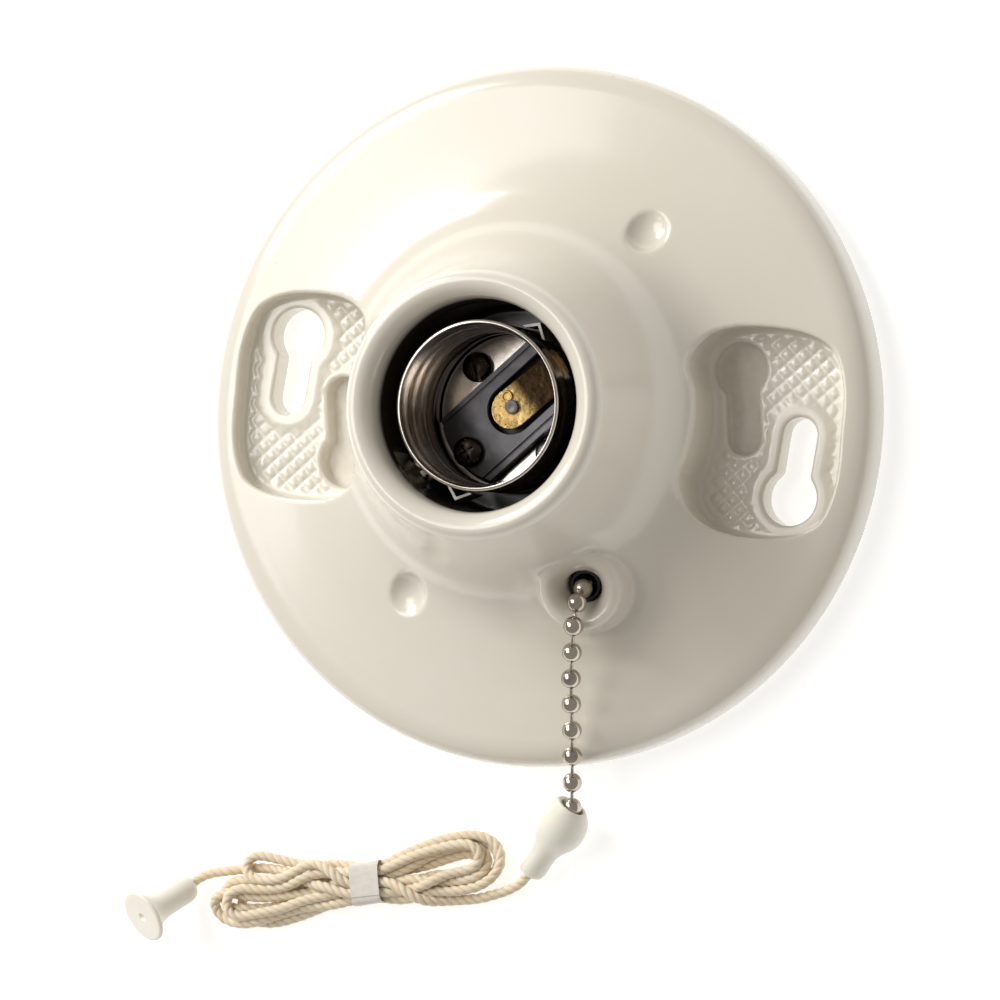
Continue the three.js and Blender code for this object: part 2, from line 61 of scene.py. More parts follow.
def make_camera():
    data = bpy.data.cameras.new("camera")
    data.sensor_width = SENSOR
    data.lens = FOCAL
    data.clip_start = 0.01
    data.clip_end = 20
    camera = linked("camera", data)
    back = CAMERA_RIGHT.cross(CAMERA_UP).normalized()
    turn = Matrix((CAMERA_RIGHT.normalized(), back.cross(CAMERA_RIGHT).normalized(), back)).transposed()
    camera.matrix_world = Matrix.Translation(CAMERA_AT) @ turn.to_4x4()
    bpy.context.scene.camera = camera


make_camera()


# ---- node materials ----
DIAGONAL = math.sqrt(0.5)  # each part of a unit vector along the switch bar


def filled(node, **values):
    """A node with constant values on its sockets."""
    for socket, value in values.items():
        node.inputs[socket.replace("_", " ")].default_value = value
    return node


class Shader:
    """A Principled material and short calls for the nodes that drive it."""

    def __init__(self, name, color, roughness, metallic=0, **sockets):
        self.material = bpy.data.materials.new(name)
        self.material.use_nodes = True
        self.nodes = self.material.node_tree.nodes
        self.links = self.material.node_tree.links
        self.main = next(n for n in self.nodes if n.type == "BSDF_PRINCIPLED")
        filled(self.main, Base_Color=(*color, 1), Roughness=roughness, Metallic=metallic, **sockets)
        self.where = self.nodes.new("ShaderNodeTexCoord").outputs["Object"]
        self.bumped = None

    def node(self, kind, **values):
        return filled(self.nodes.new("ShaderNode" + kind), **values)

    def pattern(self, kind, output, source, **values):
        """A node's output over a vector, or over the place in the part's own frame."""
        node = self.node(kind, **values)
        self.links.new(source or self.where, node.inputs["Vector"])
        return node.outputs[output]

    def scaled(self, x, y, z, source=None):
        return self.pattern("Mapping", "Vector", source, Scale=(x, y, z))

    def noise(self, scale, detail=4, rough=0.5, source=None):
        return self.pattern("TexNoise", "Fac", source, Scale=scale, Detail=detail, Roughness=rough)

    def cells(self, scale):
        return self.pattern("TexVoronoi", "Distance", None, Scale=scale)

    def rise(self, direction):
        """Distance along a direction in the part's own frame, in metres."""
        node = self.node("VectorMath")
        node.operation = "DOT_PRODUCT"
        self.links.new(self.where, node.inputs[0])
        node.inputs[1].default_value = direction
        return node.outputs["Value"]

    def attribute(self, name, output="Fac"):
        node = self.node("Attribute")
        node.attribute_name = name
        return node.outputs[output]

    def band(self, value, low, high, to_low=0, to_high=1):
        """An eased ramp from to_low, at low, to to_high, at high."""
        node = self.node("MapRange", From_Min=low, From_Max=high, To_Min=to_low, To_Max=to_high)
        node.interpolation_type = "SMOOTHSTEP"
        self.links.new(value, node.inputs["Value"])
        return node.outputs["Result"]

    def math(self, operation, a, b):
        node = self.node("Math")
        node.operation = operation
        for i, value in enumerate((a, b)):
            if isinstance(value, (int, float)):
                node.inputs[i].default_value = value
            else:
                self.links.new(value, node.inputs[i])
        return node.outputs["Value"]

    def mix(self, factor, a, b):
        node = self.node("Mix")
        node.data_type = "RGBA"
        self.links.new(factor, node.inputs["Factor"])
        for socket, value in (("A", a), ("B", b)):
            target = next(s for s in node.inputs if s.name == socket and s.type == "RGBA")
            if isinstance(value, tuple):
                target.default_value = (*value, 1)
            else:
                self.links.new(value, target)
        return next(s for s in node.outputs if s.type == "RGBA")

    def color(self, output):
        self.links.new(output, self.main.inputs["Base Color"])

    def roughness(self, output):
        self.links.new(output, self.main.inputs["Roughness"])

    def bump(self, height, distance, strength=1):
        node = self.node("Bump", Distance=distance, Strength=strength)
        self.links.new(height, node.inputs["Height"])
        if self.bumped:
            self.links.new(self.bumped, node.inputs["Normal"])
        self.bumped = node.outputs["Normal"]
        self.links.new(self.bumped, self.main.inputs["Normal"])


def porcelain_material():
    """Clear glaze over cream body with rare iron specks; bare biscuit, and painted shade down the socket's
    well, by attribute.
    """
    s = Shader("porcelain", (0.80, 0.76, 0.68), 0.3, Coat_Roughness=0.11)
    bare = s.attribute("bare")
    cloud = s.noise(28, 3)
    glaze = s.mix(s.band(cloud, 0.3, 0.7), (0.80, 0.76, 0.675), (0.775, 0.725, 0.63))
    specks = s.band(s.cells(210), 0.02, 0.05, 1, 0)
    rare = s.band(s.noise(90, 1), 0.62, 0.66)
    glaze = s.mix(s.math("MULTIPLY", s.math("MULTIPLY", specks, rare), 0.5), glaze, (0.42, 0.33, 0.22))
    biscuit = s.mix(s.band(s.noise(420, 5), 0.35, 0.7), (0.74, 0.70, 0.62), (0.66, 0.61, 0.52))
    # painted shade: the well attribute darkens the socket's wall below the lip to near black
    painted_well_shade = s.band(s.attribute("well"), 0, 1)
    s.color(s.mix(painted_well_shade, s.mix(bare, glaze, biscuit), (0.035, 0.026, 0.02)))
    s.roughness(s.band(bare, 0, 1, 0.24, 0.62))
    coat = s.band(s.math("MAXIMUM", bare, painted_well_shade), 0, 1, 0.75, 0)
    s.links.new(coat, s.main.inputs["Coat Weight"])
    s.bump(s.noise(60, 2), 0.00018, 0.3)
    s.bump(s.noise(170, 3, 0.5, s.scaled(1, 3.5, 1)), 0.00005, 0.35)
    s.bump(s.math("MULTIPLY", s.noise(1500, 4), bare), 0.00008, 0.6)
    return s.material


def metal_material(name, light, dark, roughness, spread):
    """Metal with a fine grain and cloudy tarnish; on the steel, the cloudy patches are brassy painted glints
    instead of tarnish.
    """
    s = Shader(name, light, roughness, 1.0)
    fine = s.noise(900, 4, 0.6)
    cloud = s.noise(160, 4, 0.6)
    tarnish = s.band(cloud, 0.42, 0.72)
    s.color(s.mix(tarnish, light, dark))
    s.roughness(s.math("ADD", s.band(fine, 0.3, 0.7, roughness - spread / 2, roughness + spread / 2),
                       s.band(tarnish, 0, 1, 0, spread)))
    s.bump(fine, 0.00002, 0.7)
    return s.material


def moulded_material(name, color, dark, roughness, scale=260, **sockets):
    """Moulded plastic: faint mottle, satin skin, fine pebble."""
    s = Shader(name, color, roughness, **sockets)
    s.color(s.mix(s.band(s.noise(scale, 5, 0.6), 0.35, 0.7), color, dark))
    s.roughness(s.band(s.noise(scale * 2.2, 3), 0.3, 0.7, roughness - 0.06, roughness + 0.1))
    s.bump(s.noise(1400, 3), 0.00003, 0.5)
    return s.material


def shell_material():
    """Rolled aluminium, bright on its rim and floor, with painted shade darkening the lower threaded wall."""
    s = Shader("aluminium", (0.66, 0.61, 0.565), 0.2, 1.0)
    fine = s.noise(900, 4, 0.6, s.scaled(0.2, 0.2, 5))
    tarnish = s.band(s.noise(160, 4, 0.6), 0.42, 0.72)
    height = s.rise((0, 0, 1))
    shade_full, shade_gone, floor_top, wall_foot = 0.0205, 0.026, 0.0177, 0.0186
    # painted shade on the wall: full at the lowest heights, gone higher up, and kept off the floor
    wall_shade = s.band(height, shade_full, shade_gone, 1, 0)
    painted_wall_shade = s.math("MULTIPLY", wall_shade, s.band(height, floor_top, wall_foot))
    unshaded_metal = s.mix(tarnish, (0.66, 0.61, 0.565), (0.46, 0.41, 0.365))
    s.color(s.mix(painted_wall_shade, unshaded_metal, (0.08, 0.068, 0.064)))
    s.roughness(s.band(fine, 0.3, 0.7, 0.14, 0.26))
    s.bump(fine, 0.00002, 0.7)
    return s.material


def phenolic_material():
    """Black moulding: satin, with greys lightened as painted sheen, and painted shade on its far end and on
    all below its top face, its recess included.
    """
    s = Shader("phenolic", (0.085, 0.086, 0.102), 0.36)
    # painted sheen: greys lighter than the black moulding itself, over a faint mottle
    mottle = s.mix(s.band(s.noise(260, 5, 0.6), 0.35, 0.7), (0.25, 0.245, 0.28), (0.18, 0.175, 0.2))
    # painted shade on the bar's far end and on all that lies below its top face
    far_end = s.band(s.rise((-DIAGONAL, -DIAGONAL, 0)), 0.0042, 0.0078)
    above_recess = s.band(s.rise((0, 0, 1)), 0.0189, 0.0198)
    wear_and_shade = s.mix(far_end, mottle, (0.014, 0.013, 0.016))
    s.color(s.mix(above_recess, (0.012, 0.011, 0.012), wear_and_shade))
    s.roughness(s.band(s.noise(570, 3), 0.3, 0.7, 0.36, 0.5))
    s.bump(s.noise(1400, 3), 0.00003, 0.5)
    return s.material


def brass_material(name, shaded_leaf=False):
    """Stamped brass: hammered skin and pits; on the leaf, painted shade towards its sprung end."""
    s = Shader(name, (0.88, 0.62, 0.25), 0.25, 1.0)
    cloud = s.mix(s.band(s.noise(260, 5, 0.65), 0.45, 0.75), (0.90, 0.63, 0.25), (0.52, 0.32, 0.11))
    pits = s.band(s.cells(1500), 0.08, 0.3, 1, 0)
    pitted = s.mix(s.math("MULTIPLY", pits, 0.75), cloud, (0.16, 0.09, 0.035))
    if shaded_leaf:
        # painted shade: the leaf darkens towards its sprung end, where it slopes down into the recess
        sprung_end = s.band(s.rise((DIAGONAL, DIAGONAL, 0)), 0.0012, 0.0044)
        pitted = s.mix(sprung_end, pitted, (0.05, 0.03, 0.016))
    s.color(pitted)
    smoothest, roughest = (0.2, 0.42) if shaded_leaf else (0.36, 0.6)
    s.roughness(s.band(s.noise(900, 4, 0.6), 0.3, 0.7, smoothest, roughest))
    s.bump(s.noise(700, 3), 0.00016, 0.8)
    return s.material


def fibre_material():
    """Vulcanised fibre: felted, matt and dark."""
    s = Shader("fibre", (0.055, 0.042, 0.034), 0.75)
    felt = s.noise(520, 8, 0.7, s.scaled(1, 1, 3))
    s.color(s.mix(s.band(felt, 0.35, 0.7), (0.075, 0.056, 0.042), (0.035, 0.027, 0.023)))
    s.bump(felt, 0.00012, 0.8)
    return s.material


def cotton_material():
    """Twisted cotton: fibres run along each ply, and the grooves between plies carry painted shade."""
    s = Shader("cotton", (0.86, 0.74, 0.56), 0.85, Sheen_Weight=0.25, Sheen_Roughness=0.5,
               Subsurface_Weight=0.25, Subsurface_Scale=0.0012, Subsurface_Radius=(1, 0.55, 0.28))
    crown = s.attribute("crown")
    along = s.attribute("lay", "Vector")
    fibre = s.noise(1.0, 6, 0.65, s.scaled(2.2, 26, 1, along))
    body = s.mix(s.band(s.noise(70, 4), 0.35, 0.7), (0.96, 0.89, 0.75), (0.92, 0.82, 0.65))
    lit = s.mix(s.band(fibre, 0.3, 0.75), (0.86, 0.74, 0.56), body)
    # painted shade in the grooves between plies, lit colour on their crowns
    s.color(s.mix(s.band(crown, 0.0, 0.75), (0.80, 0.62, 0.40), lit))
    s.bump(fibre, 0.00007, 0.7)
    return s.material


def paper_material():
    """Uncoated paper with its pulp showing."""
    s = Shader("paper", (0.80, 0.755, 0.70), 0.85, Subsurface_Weight=0.1, Subsurface_Scale=0.0006)
    pulp = s.noise(600, 6, 0.65, s.scaled(1, 2.2, 1))
    s.color(s.mix(s.band(pulp, 0.35, 0.7), (0.82, 0.77, 0.72), (0.74, 0.69, 0.63)))
    s.bump(pulp, 0.00004, 0.6)
    return s.material


# The material of each finish, and the slot that it stands for.
FINISH = {
    "porcelain": (porcelain_material(), "glazed_porcelain"),
    "aluminium": (shell_material(), "rolled_aluminium"),
    "zinc": (metal_material("zinc", (0.36, 0.35, 0.35), (0.22, 0.2, 0.19), 0.46, 0.12), "nickel_plate"),
    "nickel": (metal_material("nickel", (0.6, 0.54, 0.475), (0.38, 0.33, 0.28), 0.12, 0.06), "nickel_plate"),
    # steel: near-black heads whose brassy cloud patches are painted glints
    "steel": (metal_material("steel", (0.022, 0.019, 0.017), (0.11, 0.075, 0.038), 0.24, 0.2), "dark_steel"),
    "brass": (brass_material("brass"), "brass"),
    "leaf": (brass_material("leaf", shaded_leaf=True), "brass"),
    "phenolic": (phenolic_material(), "phenolic"),
    "liner": (moulded_material("liner", (0.012, 0.012, 0.016), (0.02, 0.018, 0.02), 0.25), "bushing_liner"),
    "ivory": (moulded_material("ivory", (0.93, 0.905, 0.82), (0.90, 0.865, 0.76), 0.38, 90,
                               Subsurface_Weight=0.2, Subsurface_Scale=0.002), "ivory_plastic"),
    "fibre": (fibre_material(), "vulcanised_fibre"),
    "cotton": (cotton_material(), "cotton_cord"),
    "paper": (paper_material(), "paper_band"),
}


# ---- mesh helpers ----
# A solid is a pair of points, in millimetres, and faces.
def mesh_of(name, solid):
    """A bare mesh from a solid."""
    points, faces = solid
    mesh = bpy.data.meshes.new(name)
    mesh.from_pydata((np.asarray(points, float) * MM).tolist(), [], [list(map(int, f)) for f in faces])
    mesh.update()
    return mesh


def attached(obj, body, finish, replaces):
    """Gives an object its finish and has it ride on a body in place of CAD nodes."""
    material, slot = FINISH[finish]
    obj.data.materials.append(material)
    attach(obj, body)
    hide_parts(*replaces)


def piece(name, solid, body, finish, replaces, angle=None):
    """A smooth object from a solid, sharp over an angle in degrees if one is given."""
    mesh = mesh_of(name, solid)
    mesh.validate()
    mesh.shade_smooth()
    if angle is not None:
        mesh.set_sharp_from_angle(angle=math.radians(angle))
    obj = linked(name, mesh)
    attached(obj, body, finish, replaces)
    return obj


def unit(v):
    v = np.asarray(v, float)
    return v / np.linalg.norm(v)


def axes_for(direction, spin=0):
    """Two unit vectors across a direction, turned about it by a spin in degrees."""
    d = unit(direction)
    helper = np.array([0, 0, 1.0]) if abs(d[2]) < 0.9 else np.array([1.0, 0, 0])
    a = unit(np.cross(helper, d))
    b = np.cross(d, a)
    c, s, _ = polar(1, spin)
    return a * c + b * s, b * c - a * s, d


def placed(solid, at, direction=(0, 0, 1), spin=0):
    """A solid moved so that its +Z runs along a direction from a place."""
    a, b, d = axes_for(direction, spin)
    points, faces = solid
    return np.asarray(at, float) + points[:, :1] * a + points[:, 1:2] * b + points[:, 2:3] * d, faces


def around(count):
    """Evenly spaced angles of a whole turn."""
    return np.linspace(0, 2 * math.pi, count, endpoint=False)


def grid_faces(rows, columns, closed_rows=False):
    """Quads of a grid of rows by columns, each row closed on itself."""
    low = np.arange(rows * columns).reshape(rows, columns)
    high = np.roll(low, -1, axis=0)
    quads = np.stack([low, np.roll(low, -1, axis=1), np.roll(high, -1, axis=1), high], axis=2)
    return quads[:rows if closed_rows else rows - 1].reshape(-1, 4).tolist()


def smooth_line(points, spacing, closed=False):
    """Centripetal Catmull-Rom line through the points, resampled evenly."""
    p = np.asarray(points, float)
    p = np.vstack([p[-1], p, p[0], p[1]]) if closed else np.vstack([2 * p[0] - p[1], p, 2 * p[-1] - p[-2]])
    spans = (((0, 1), (1, 2), (2, 3)), ((0, 2), (1, 3)), ((1, 2),))
    out = []
    for level in zip(p, p[1:], p[2:], p[3:]):
        knot = np.cumsum([0.0, *(max(np.linalg.norm(b - a), 1e-6) ** 0.5 for a, b in zip(level, level[1:]))])
        t = np.linspace(knot[1], knot[2], 24, endpoint=False)[:, None]
        for pairs in spans:
            ends = [(knot[i], knot[j], a, b) for (i, j), a, b in zip(pairs, level, level[1:])]
            level = [(high - t) / (high - low) * a + (t - low) / (high - low) * b for low, high, a, b in ends]
        out.append(level[0])
    return resample(np.vstack([*out, p[-2]]), spacing)


def resample(line, spacing):
    """The same line with evenly spaced points."""
    steps = np.linalg.norm(np.diff(line, axis=0), axis=1)
    along = np.concatenate([[0], np.cumsum(steps)])
    count = max(2, int(round(along[-1] / spacing)) + 1)
    want = np.linspace(0, along[-1], count)
    return np.stack([np.interp(want, along, line[:, k]) for k in range(line.shape[1])], axis=1)


def turned(profile, segments):
    """Solid of revolution about +Z from [r, z] points; ends on the axis are closed by one point."""
    points, faces, rows = [], [], []
    angles = around(segments)
    for r, z in profile:
        start = len(points)
        if r < 1e-4:
            points.append((0, 0, z))
            rows.append([start] * segments)
        else:
            points.extend((r * math.cos(a), r * math.sin(a), z) for a in angles)
            rows.append(list(range(start, start + segments)))
    for low, high in zip(rows, rows[1:]):
        for j in range(segments):
            k = (j + 1) % segments
            ring = [low[j], low[k], high[k], high[j]]
            face = [v for i, v in enumerate(ring) if v != ring[i - 1]]
            if len(face) > 2:
                faces.append(face)
    return np.array(points, float), faces


def merged(*parts):
    """Several solids as one."""
    points, faces, offset = [], [], 0
    for p, f in parts:
        points.append(p)
        faces += [[v + offset for v in face] for face in f]
        offset += len(p)
    return np.vstack(points), faces


def slab(outline, low, high):
    """A plate from a flat outline."""
    n = len(outline)
    points = [(x, y, z) for z in (low, high) for x, y in outline]
    faces = [tuple(reversed(range(n))), tuple(range(n, 2 * n))]
    faces += [(i, (i + 1) % n, n + (i + 1) % n, n + i) for i in range(n)]
    return np.array(points, float), faces


def modified(obj, kind, **settings):
    """Changes the mesh by one modifier, which doesn't stay on the object."""
    modifier = obj.modifiers.new(kind.lower(), kind)
    for name, value in settings.items():
        setattr(modifier, name, value)
    mesh = bpy.data.meshes.new_from_object(obj.evaluated_get(bpy.context.evaluated_depsgraph_get()))
    old = obj.data
    obj.modifiers.clear()
    obj.data = mesh
    bpy.data.meshes.remove(old)


def bevelled(obj, width, segments, angle):
    """Rounded edges, kept in the mesh."""
    modified(obj, "BEVEL", width=width * MM, segments=segments, limit_method="ANGLE",
             angle_limit=math.radians(angle), harden_normals=True)


def carved(obj, *tools):
    """obj with the tool solids cut out of it."""
    for solid in tools:
        tool = linked("tool", mesh_of("tool", solid))
        modified(obj, "BOOLEAN", operation="DIFFERENCE", solver="EXACT", object=tool)
        bpy.data.objects.remove(tool)


def joined(obj, mesh):
    """Adds a second mesh to the object's own."""
    bm = bmesh.new()
    bm.from_mesh(obj.data)
    bm.from_mesh(mesh)
    bm.to_mesh(obj.data)
    bm.free()
    bpy.data.meshes.remove(mesh)


def resharpened(obj, angle):
    """The object in smooth shading, sharp over an angle in degrees."""
    obj.data.shade_smooth()
    obj.data.set_sharp_from_angle(angle=math.radians(angle))
    return obj


def brick(size, at, spin):
    """A box round a place, turned about +Z."""
    x, y, z = (v / 2 for v in size)
    return placed(slab([(-x, -y), (x, -y), (x, y), (-x, y)], -z, z), at, spin=spin)


def plug(r, low, high, segments):
    """A round solid between two heights."""
    return turned([(0, low), (r, low), (r, high), (0, high)], segments)


def kept_with_points(mesh, name, values):
    """Gives the mesh's points a number or a vector each, for the finish to read."""
    kind, key = ("FLOAT", "value") if values.ndim == 1 else ("FLOAT_VECTOR", "vector")
    attribute = mesh.attributes.new(name, kind, "POINT")
    attribute.data.foreach_set(key, values.astype(np.float32).reshape(-1))


def polar(r, azimuth, z=0):
    """A point at a radius and an azimuth in degrees about +Z."""
    a = math.radians(azimuth)
    return np.array([r * math.cos(a), r * math.sin(a), z])


# ---- the cord ----
CORD_D = 1.7
LEAD = [
    (5.1, -72.5, 3.25), (3.9, -74.3, 2.85), (2.6, -75.8, 2.2), (1, -76.9, 1.5),
    (-1, -77.9, 1.15), (-3.1, -78.7, 1.1), (-5.2, -79.4, 1.1), (-9.5, -80.1, 1.6),
    (-13.5, -79.7, 2.9), (-17.5, -78.7, 4.3),
]
TAIL = [
    (-45.2, -77.8, 2.2), (-46.7, -78.2, 1.6), (-48.4, -78.7, 1.3), (-50.4, -79.05, 1.15),
    (-52.3, -79.5, 1.1), (-53.8, -80.15, 1.15), (-54.8, -80.9, 1.35), (-55.6, -81.7, 1.9),
]
TIE = {"at": (-23.8, -78.5), "turn": 12, "length": 5, "width": 6.9, "height": 4.9}
# Where a strand lies in the band: across it and up, in the band's own turned frame.
BERTHS = [
    (0, 3.9), (2.3, 1.1), (-2.3, 1.1), (0.8, 1.1), (-0.8, 1.1), (2.4, 2.5),
    (-2.4, 2.5), (0.8, 2.5), (-0.8, 2.5), (1.7, 3.9), (-1.7, 3.9),
]
# The folds left and right of the band, each from the berth before it to the berth after it.
LEFT_FOLDS = [
    [(-30.2, -76.7, 4.4), (-32.4, -75.7, 4.6), (-34.5, -75.8, 4.7), (-36, -77.4, 4.7),
     (-37.8, -79.7, 4.5), (-41.7, -80.1, 4), (-45.2, -79.2, 3.6), (-46.8, -77.5, 3.2),
     (-44.8, -75.9, 2.9), (-40.2, -76.1, 2.6), (-36.4, -76.7, 2.4), (-32.6, -76.9, 2.2), (-29.8, -77.3, 1.6)],
    [(-31.5, -82.6, 1), (-38.2, -85.8, 0.95), (-44.1, -86.9, 0.95), (-47, -85.8, 0.95), (-47.3, -83.6, 1.2),
     (-45.8, -82, 1.8), (-42.2, -81.9, 1.6), (-34.5, -80.2, 1.2), (-30, -79, 1.1)],
    [(-32, -81.2, 1), (-40, -83.9, 0.95), (-47.6, -85.2, 1.5), (-50.2, -84.4, 1), (-50.8, -82.3, 0.95),
     (-49.1, -80.6, 0.95), (-46.2, -80.4, 1.4), (-38.8, -79, 1), (-31.5, -77.9, 1.6)],
    [(-31.5, -82.3, 2.5), (-38.8, -85.2, 2.6), (-46.5, -87.3, 2.4), (-50.2, -87, 1.3), (-51.7, -85, 1.2),
     (-50.9, -82.8, 2.4), (-48.8, -82.1, 3.2), (-43.6, -82.9, 3), (-35.2, -80.6, 2.7), (-30, -78.9, 2.5)],
    [(-32, -81.5, 3.6), (-39.4, -84.6, 3.9), (-46, -86.3, 3.9), (-48.6, -85.3, 3.7), (-48.7, -83, 3.9),
     (-47, -81.4, 4.1), (-43.4, -81.6, 4), (-36.4, -79.6, 3.9), (-31, -77.6, 3.9)],
]
RIGHT_FOLDS = [
    [(-18.5, -73.9, 1), (-13, -71.2, 0.95), (-7.4, -69.6, 0.95), (-3.4, -69.9, 0.95), (-1.4, -72, 0.95),
     (-2, -74.8, 0.95), (-5.4, -76.9, 0.95), (-11, -78.4, 0.95), (-17.5, -79.8, 1)],
    [(-18, -75.6, 1), (-12.5, -73.6, 0.95), (-8.8, -71.8, 0.95), (-5.7, -71.9, 0.95), (-4.6, -73, 0.95),
     (-4.7, -74.7, 0.95), (-6.1, -75.8, 0.95), (-9.2, -76, 0.95), (-14, -77.1, 0.95)],
    [(-18.4, -73.5, 2.6), (-12.6, -70.7, 2.6), (-7, -69.1, 2.6), (-3, -69.4, 2.6), (-0.9, -71.9, 2.6),
     (-1.6, -74.8, 2.6), (-5, -77.1, 2.6), (-11, -78.7, 2.5), (-17.2, -80.1, 2.5)],
    [(-17.5, -75.4, 2.5), (-13, -72.9, 2.3), (-8.8, -71, 2.1), (-5.4, -70.9, 2.1), (-3.5, -72.6, 2.1),
     (-4.2, -75.2, 2.1), (-7.8, -76.4, 2.1), (-12.8, -77.2, 2.3), (-17.5, -78.1, 2.6)],
    [(-18, -74.6, 3.8), (-12.6, -72, 3.7), (-8, -70.6, 3.6), (-5.3, -70.8, 3.5), (-4, -72.4, 3.4),
     (-5, -74.3, 3.4), (-8.6, -75.2, 3.5), (-13.5, -77.6, 3.6), (-18.5, -79.6, 3.9)],
]
LAST = [(-29.5, -80.3, 3.9), (-33.5, -79.9, 3.2), (-38, -78.7, 1.9), (-42, -77.8, 1.1)]


def in_tie(along, across, height):
    """A point given along the band's axis from its middle, across it and up."""
    c, s, _ = polar(1, TIE["turn"])
    x, y = TIE["at"]
    return (x + along * c - across * s, y + along * s + across * c, height)


def cord_route():
    """The whole cord: lead, eleven strands through the band, five folds at each end, tail."""
    half = TIE["length"] / 2
    route = list(LEAD)
    for index in range(len(BERTHS)):
        side = 1 if index % 2 == 0 else -1
        route += [in_tie(way * side * half, *BERTHS[index]) for way in (1, -1)]
        if index < len(BERTHS) - 1:
            route += (LEFT_FOLDS if side > 0 else RIGHT_FOLDS)[index // 2]
    return np.array(route + LAST + TAIL)


def eased(p):
    """Step of each point towards the middle of its neighbours."""
    step = np.zeros_like(p)
    step[1:-1] = 0.5 * (p[:-2] + p[2:]) - p[1:-1]
    return step


def pushed(p, apart, gap):
    """Step of each point away from other strands that are nearer than the gap."""
    delta = p[:, None, :] - p[None, :, :]
    distance = np.sqrt((delta**2).sum(axis=2)) + 1e-9
    weight = np.where(apart & (distance < gap), (gap - distance) / distance, 0)
    return 0.25 * (delta * weight[:, :, None]).sum(axis=1)


def opened(p, reach, least):
    """Step that opens a bend whose ends, reach points apart along it, are nearer than least."""
    chord = p[reach:] - p[:-reach]
    size = np.linalg.norm(chord, axis=1)
    spread = 0.25 * chord * (np.maximum(least - size, 0) / size)[:, None]
    step = np.zeros_like(p)
    step[reach:] += spread
    step[:-reach] -= spread
    return step


def settled(line, gap, fixed_head, fixed_tail, rounds=160, polish=60):
    """Eases strands apart to a cord's width, keeps them on the table and smooths the bends."""
    sink, longest_step, band_grip = 0.005, 0.25, 0.35
    p = line.copy()
    index = np.arange(len(p))
    step = np.linalg.norm(np.diff(p, axis=0), axis=1).mean()
    apart = np.abs(index[:, None] - index[None, :]) * step > 2.6 * gap
    hold = (index < fixed_head) | (index >= len(p) - fixed_tail)
    in_band = np.abs(p[:, 0] - TIE["at"][0]) < TIE["length"] / 2 + 0.6
    for _ in range(rounds):
        ease = eased(p)
        move = pushed(p, apart, gap) + 0.1 * ease - 0.35 * eased(ease)
        move += opened(p, round(2 * gap / step), 1.55 * gap)
        move[:, 2] -= sink
        move[hold] = 0
        move[in_band] *= band_grip
        p += np.clip(move, -longest_step, longest_step)
        p[:, 2] = np.maximum(p[:, 2], CORD_D / 2 + 0.05)
        p[in_band, 2] = np.minimum(p[in_band, 2], TIE["height"] - CORD_D / 2 - 0.15)
    for turn in range(2 * polish):
        ease = eased(p)
        ease[hold] = 0
        p += (0.6 if turn % 2 == 0 else -0.62) * ease
    p[:, 2] = np.maximum(p[:, 2], CORD_D / 2 + 0.03)
    return p


def frames_along(line):
    """Two steady unit vectors across a line at each of its points."""
    tangent = np.gradient(line, axis=0)
    tangent /= np.linalg.norm(tangent, axis=1)[:, None]
    normal = np.zeros_like(line)
    normal[0] = axes_for(tangent[0])[0]
    for i in range(1, len(line)):
        v = normal[i - 1] - tangent[i] * np.dot(normal[i - 1], tangent[i])
        normal[i] = v / np.linalg.norm(v)
    return normal, np.cross(tangent, normal)


def cord_centre():
    """The settled middle line of the whole cord, from the coupling to the pull."""
    coarse, fine = 0.6, 0.3
    held_at_coupling, held_at_pull = 13, 8
    rough = smooth_line(cord_route(), coarse)
    rough = settled(rough, 0.93 * CORD_D, int(held_at_coupling / coarse), int(held_at_pull / coarse))
    return smooth_line(rough, fine)


def twisted_cord(line):
    """Three plies laid round the line, with each point's place in its ply kept for the finish."""
    plies, pitch, columns = 3, 4.4, 18
    groove, crest, fullness = 0.81, 0.22, 0.75
    normal, side = frames_along(line)
    along = np.concatenate([[0], np.cumsum(np.linalg.norm(np.diff(line, axis=0), axis=1))])
    angle = around(columns)
    lobe = np.abs(np.cos(plies * angle[None, :] / 2))
    radius = CORD_D / 2 * (groove + crest * lobe**fullness)
    turn = angle[None, :] + (2 * math.pi * along / pitch)[:, None]
    across = np.cos(turn)[:, :, None] * normal[:, None, :] + np.sin(turn)[:, :, None] * side[:, None, :]
    rows = len(line)
    points = (line[:, None, :] + radius[:, :, None] * across).reshape(-1, 3)
    points[:, 2] = np.maximum(points[:, 2], 0.04)
    faces = grid_faces(rows, columns)
    faces += [range(columns)[::-1], range((rows - 1) * columns, rows * columns)]
    cord = piece("cord", (points, faces), "chain_hang", "cotton", ("cord_lead", "cord_hank", "cord_tail"))
    kept_with_points(cord.data, "crown", np.tile(lobe, (rows, 1)).reshape(-1))
    ply_angle = np.tile(angle / (2 * math.pi) * plies, (rows, 1))
    lay = np.stack([np.repeat(along[:, None], columns, 1), ply_angle, np.zeros_like(ply_angle)], axis=2)
    kept_with_points(cord.data, "lay", lay)
    return cord, along[-1]


cord_line = cord_centre()
cord, cord_length = twisted_cord(cord_line)


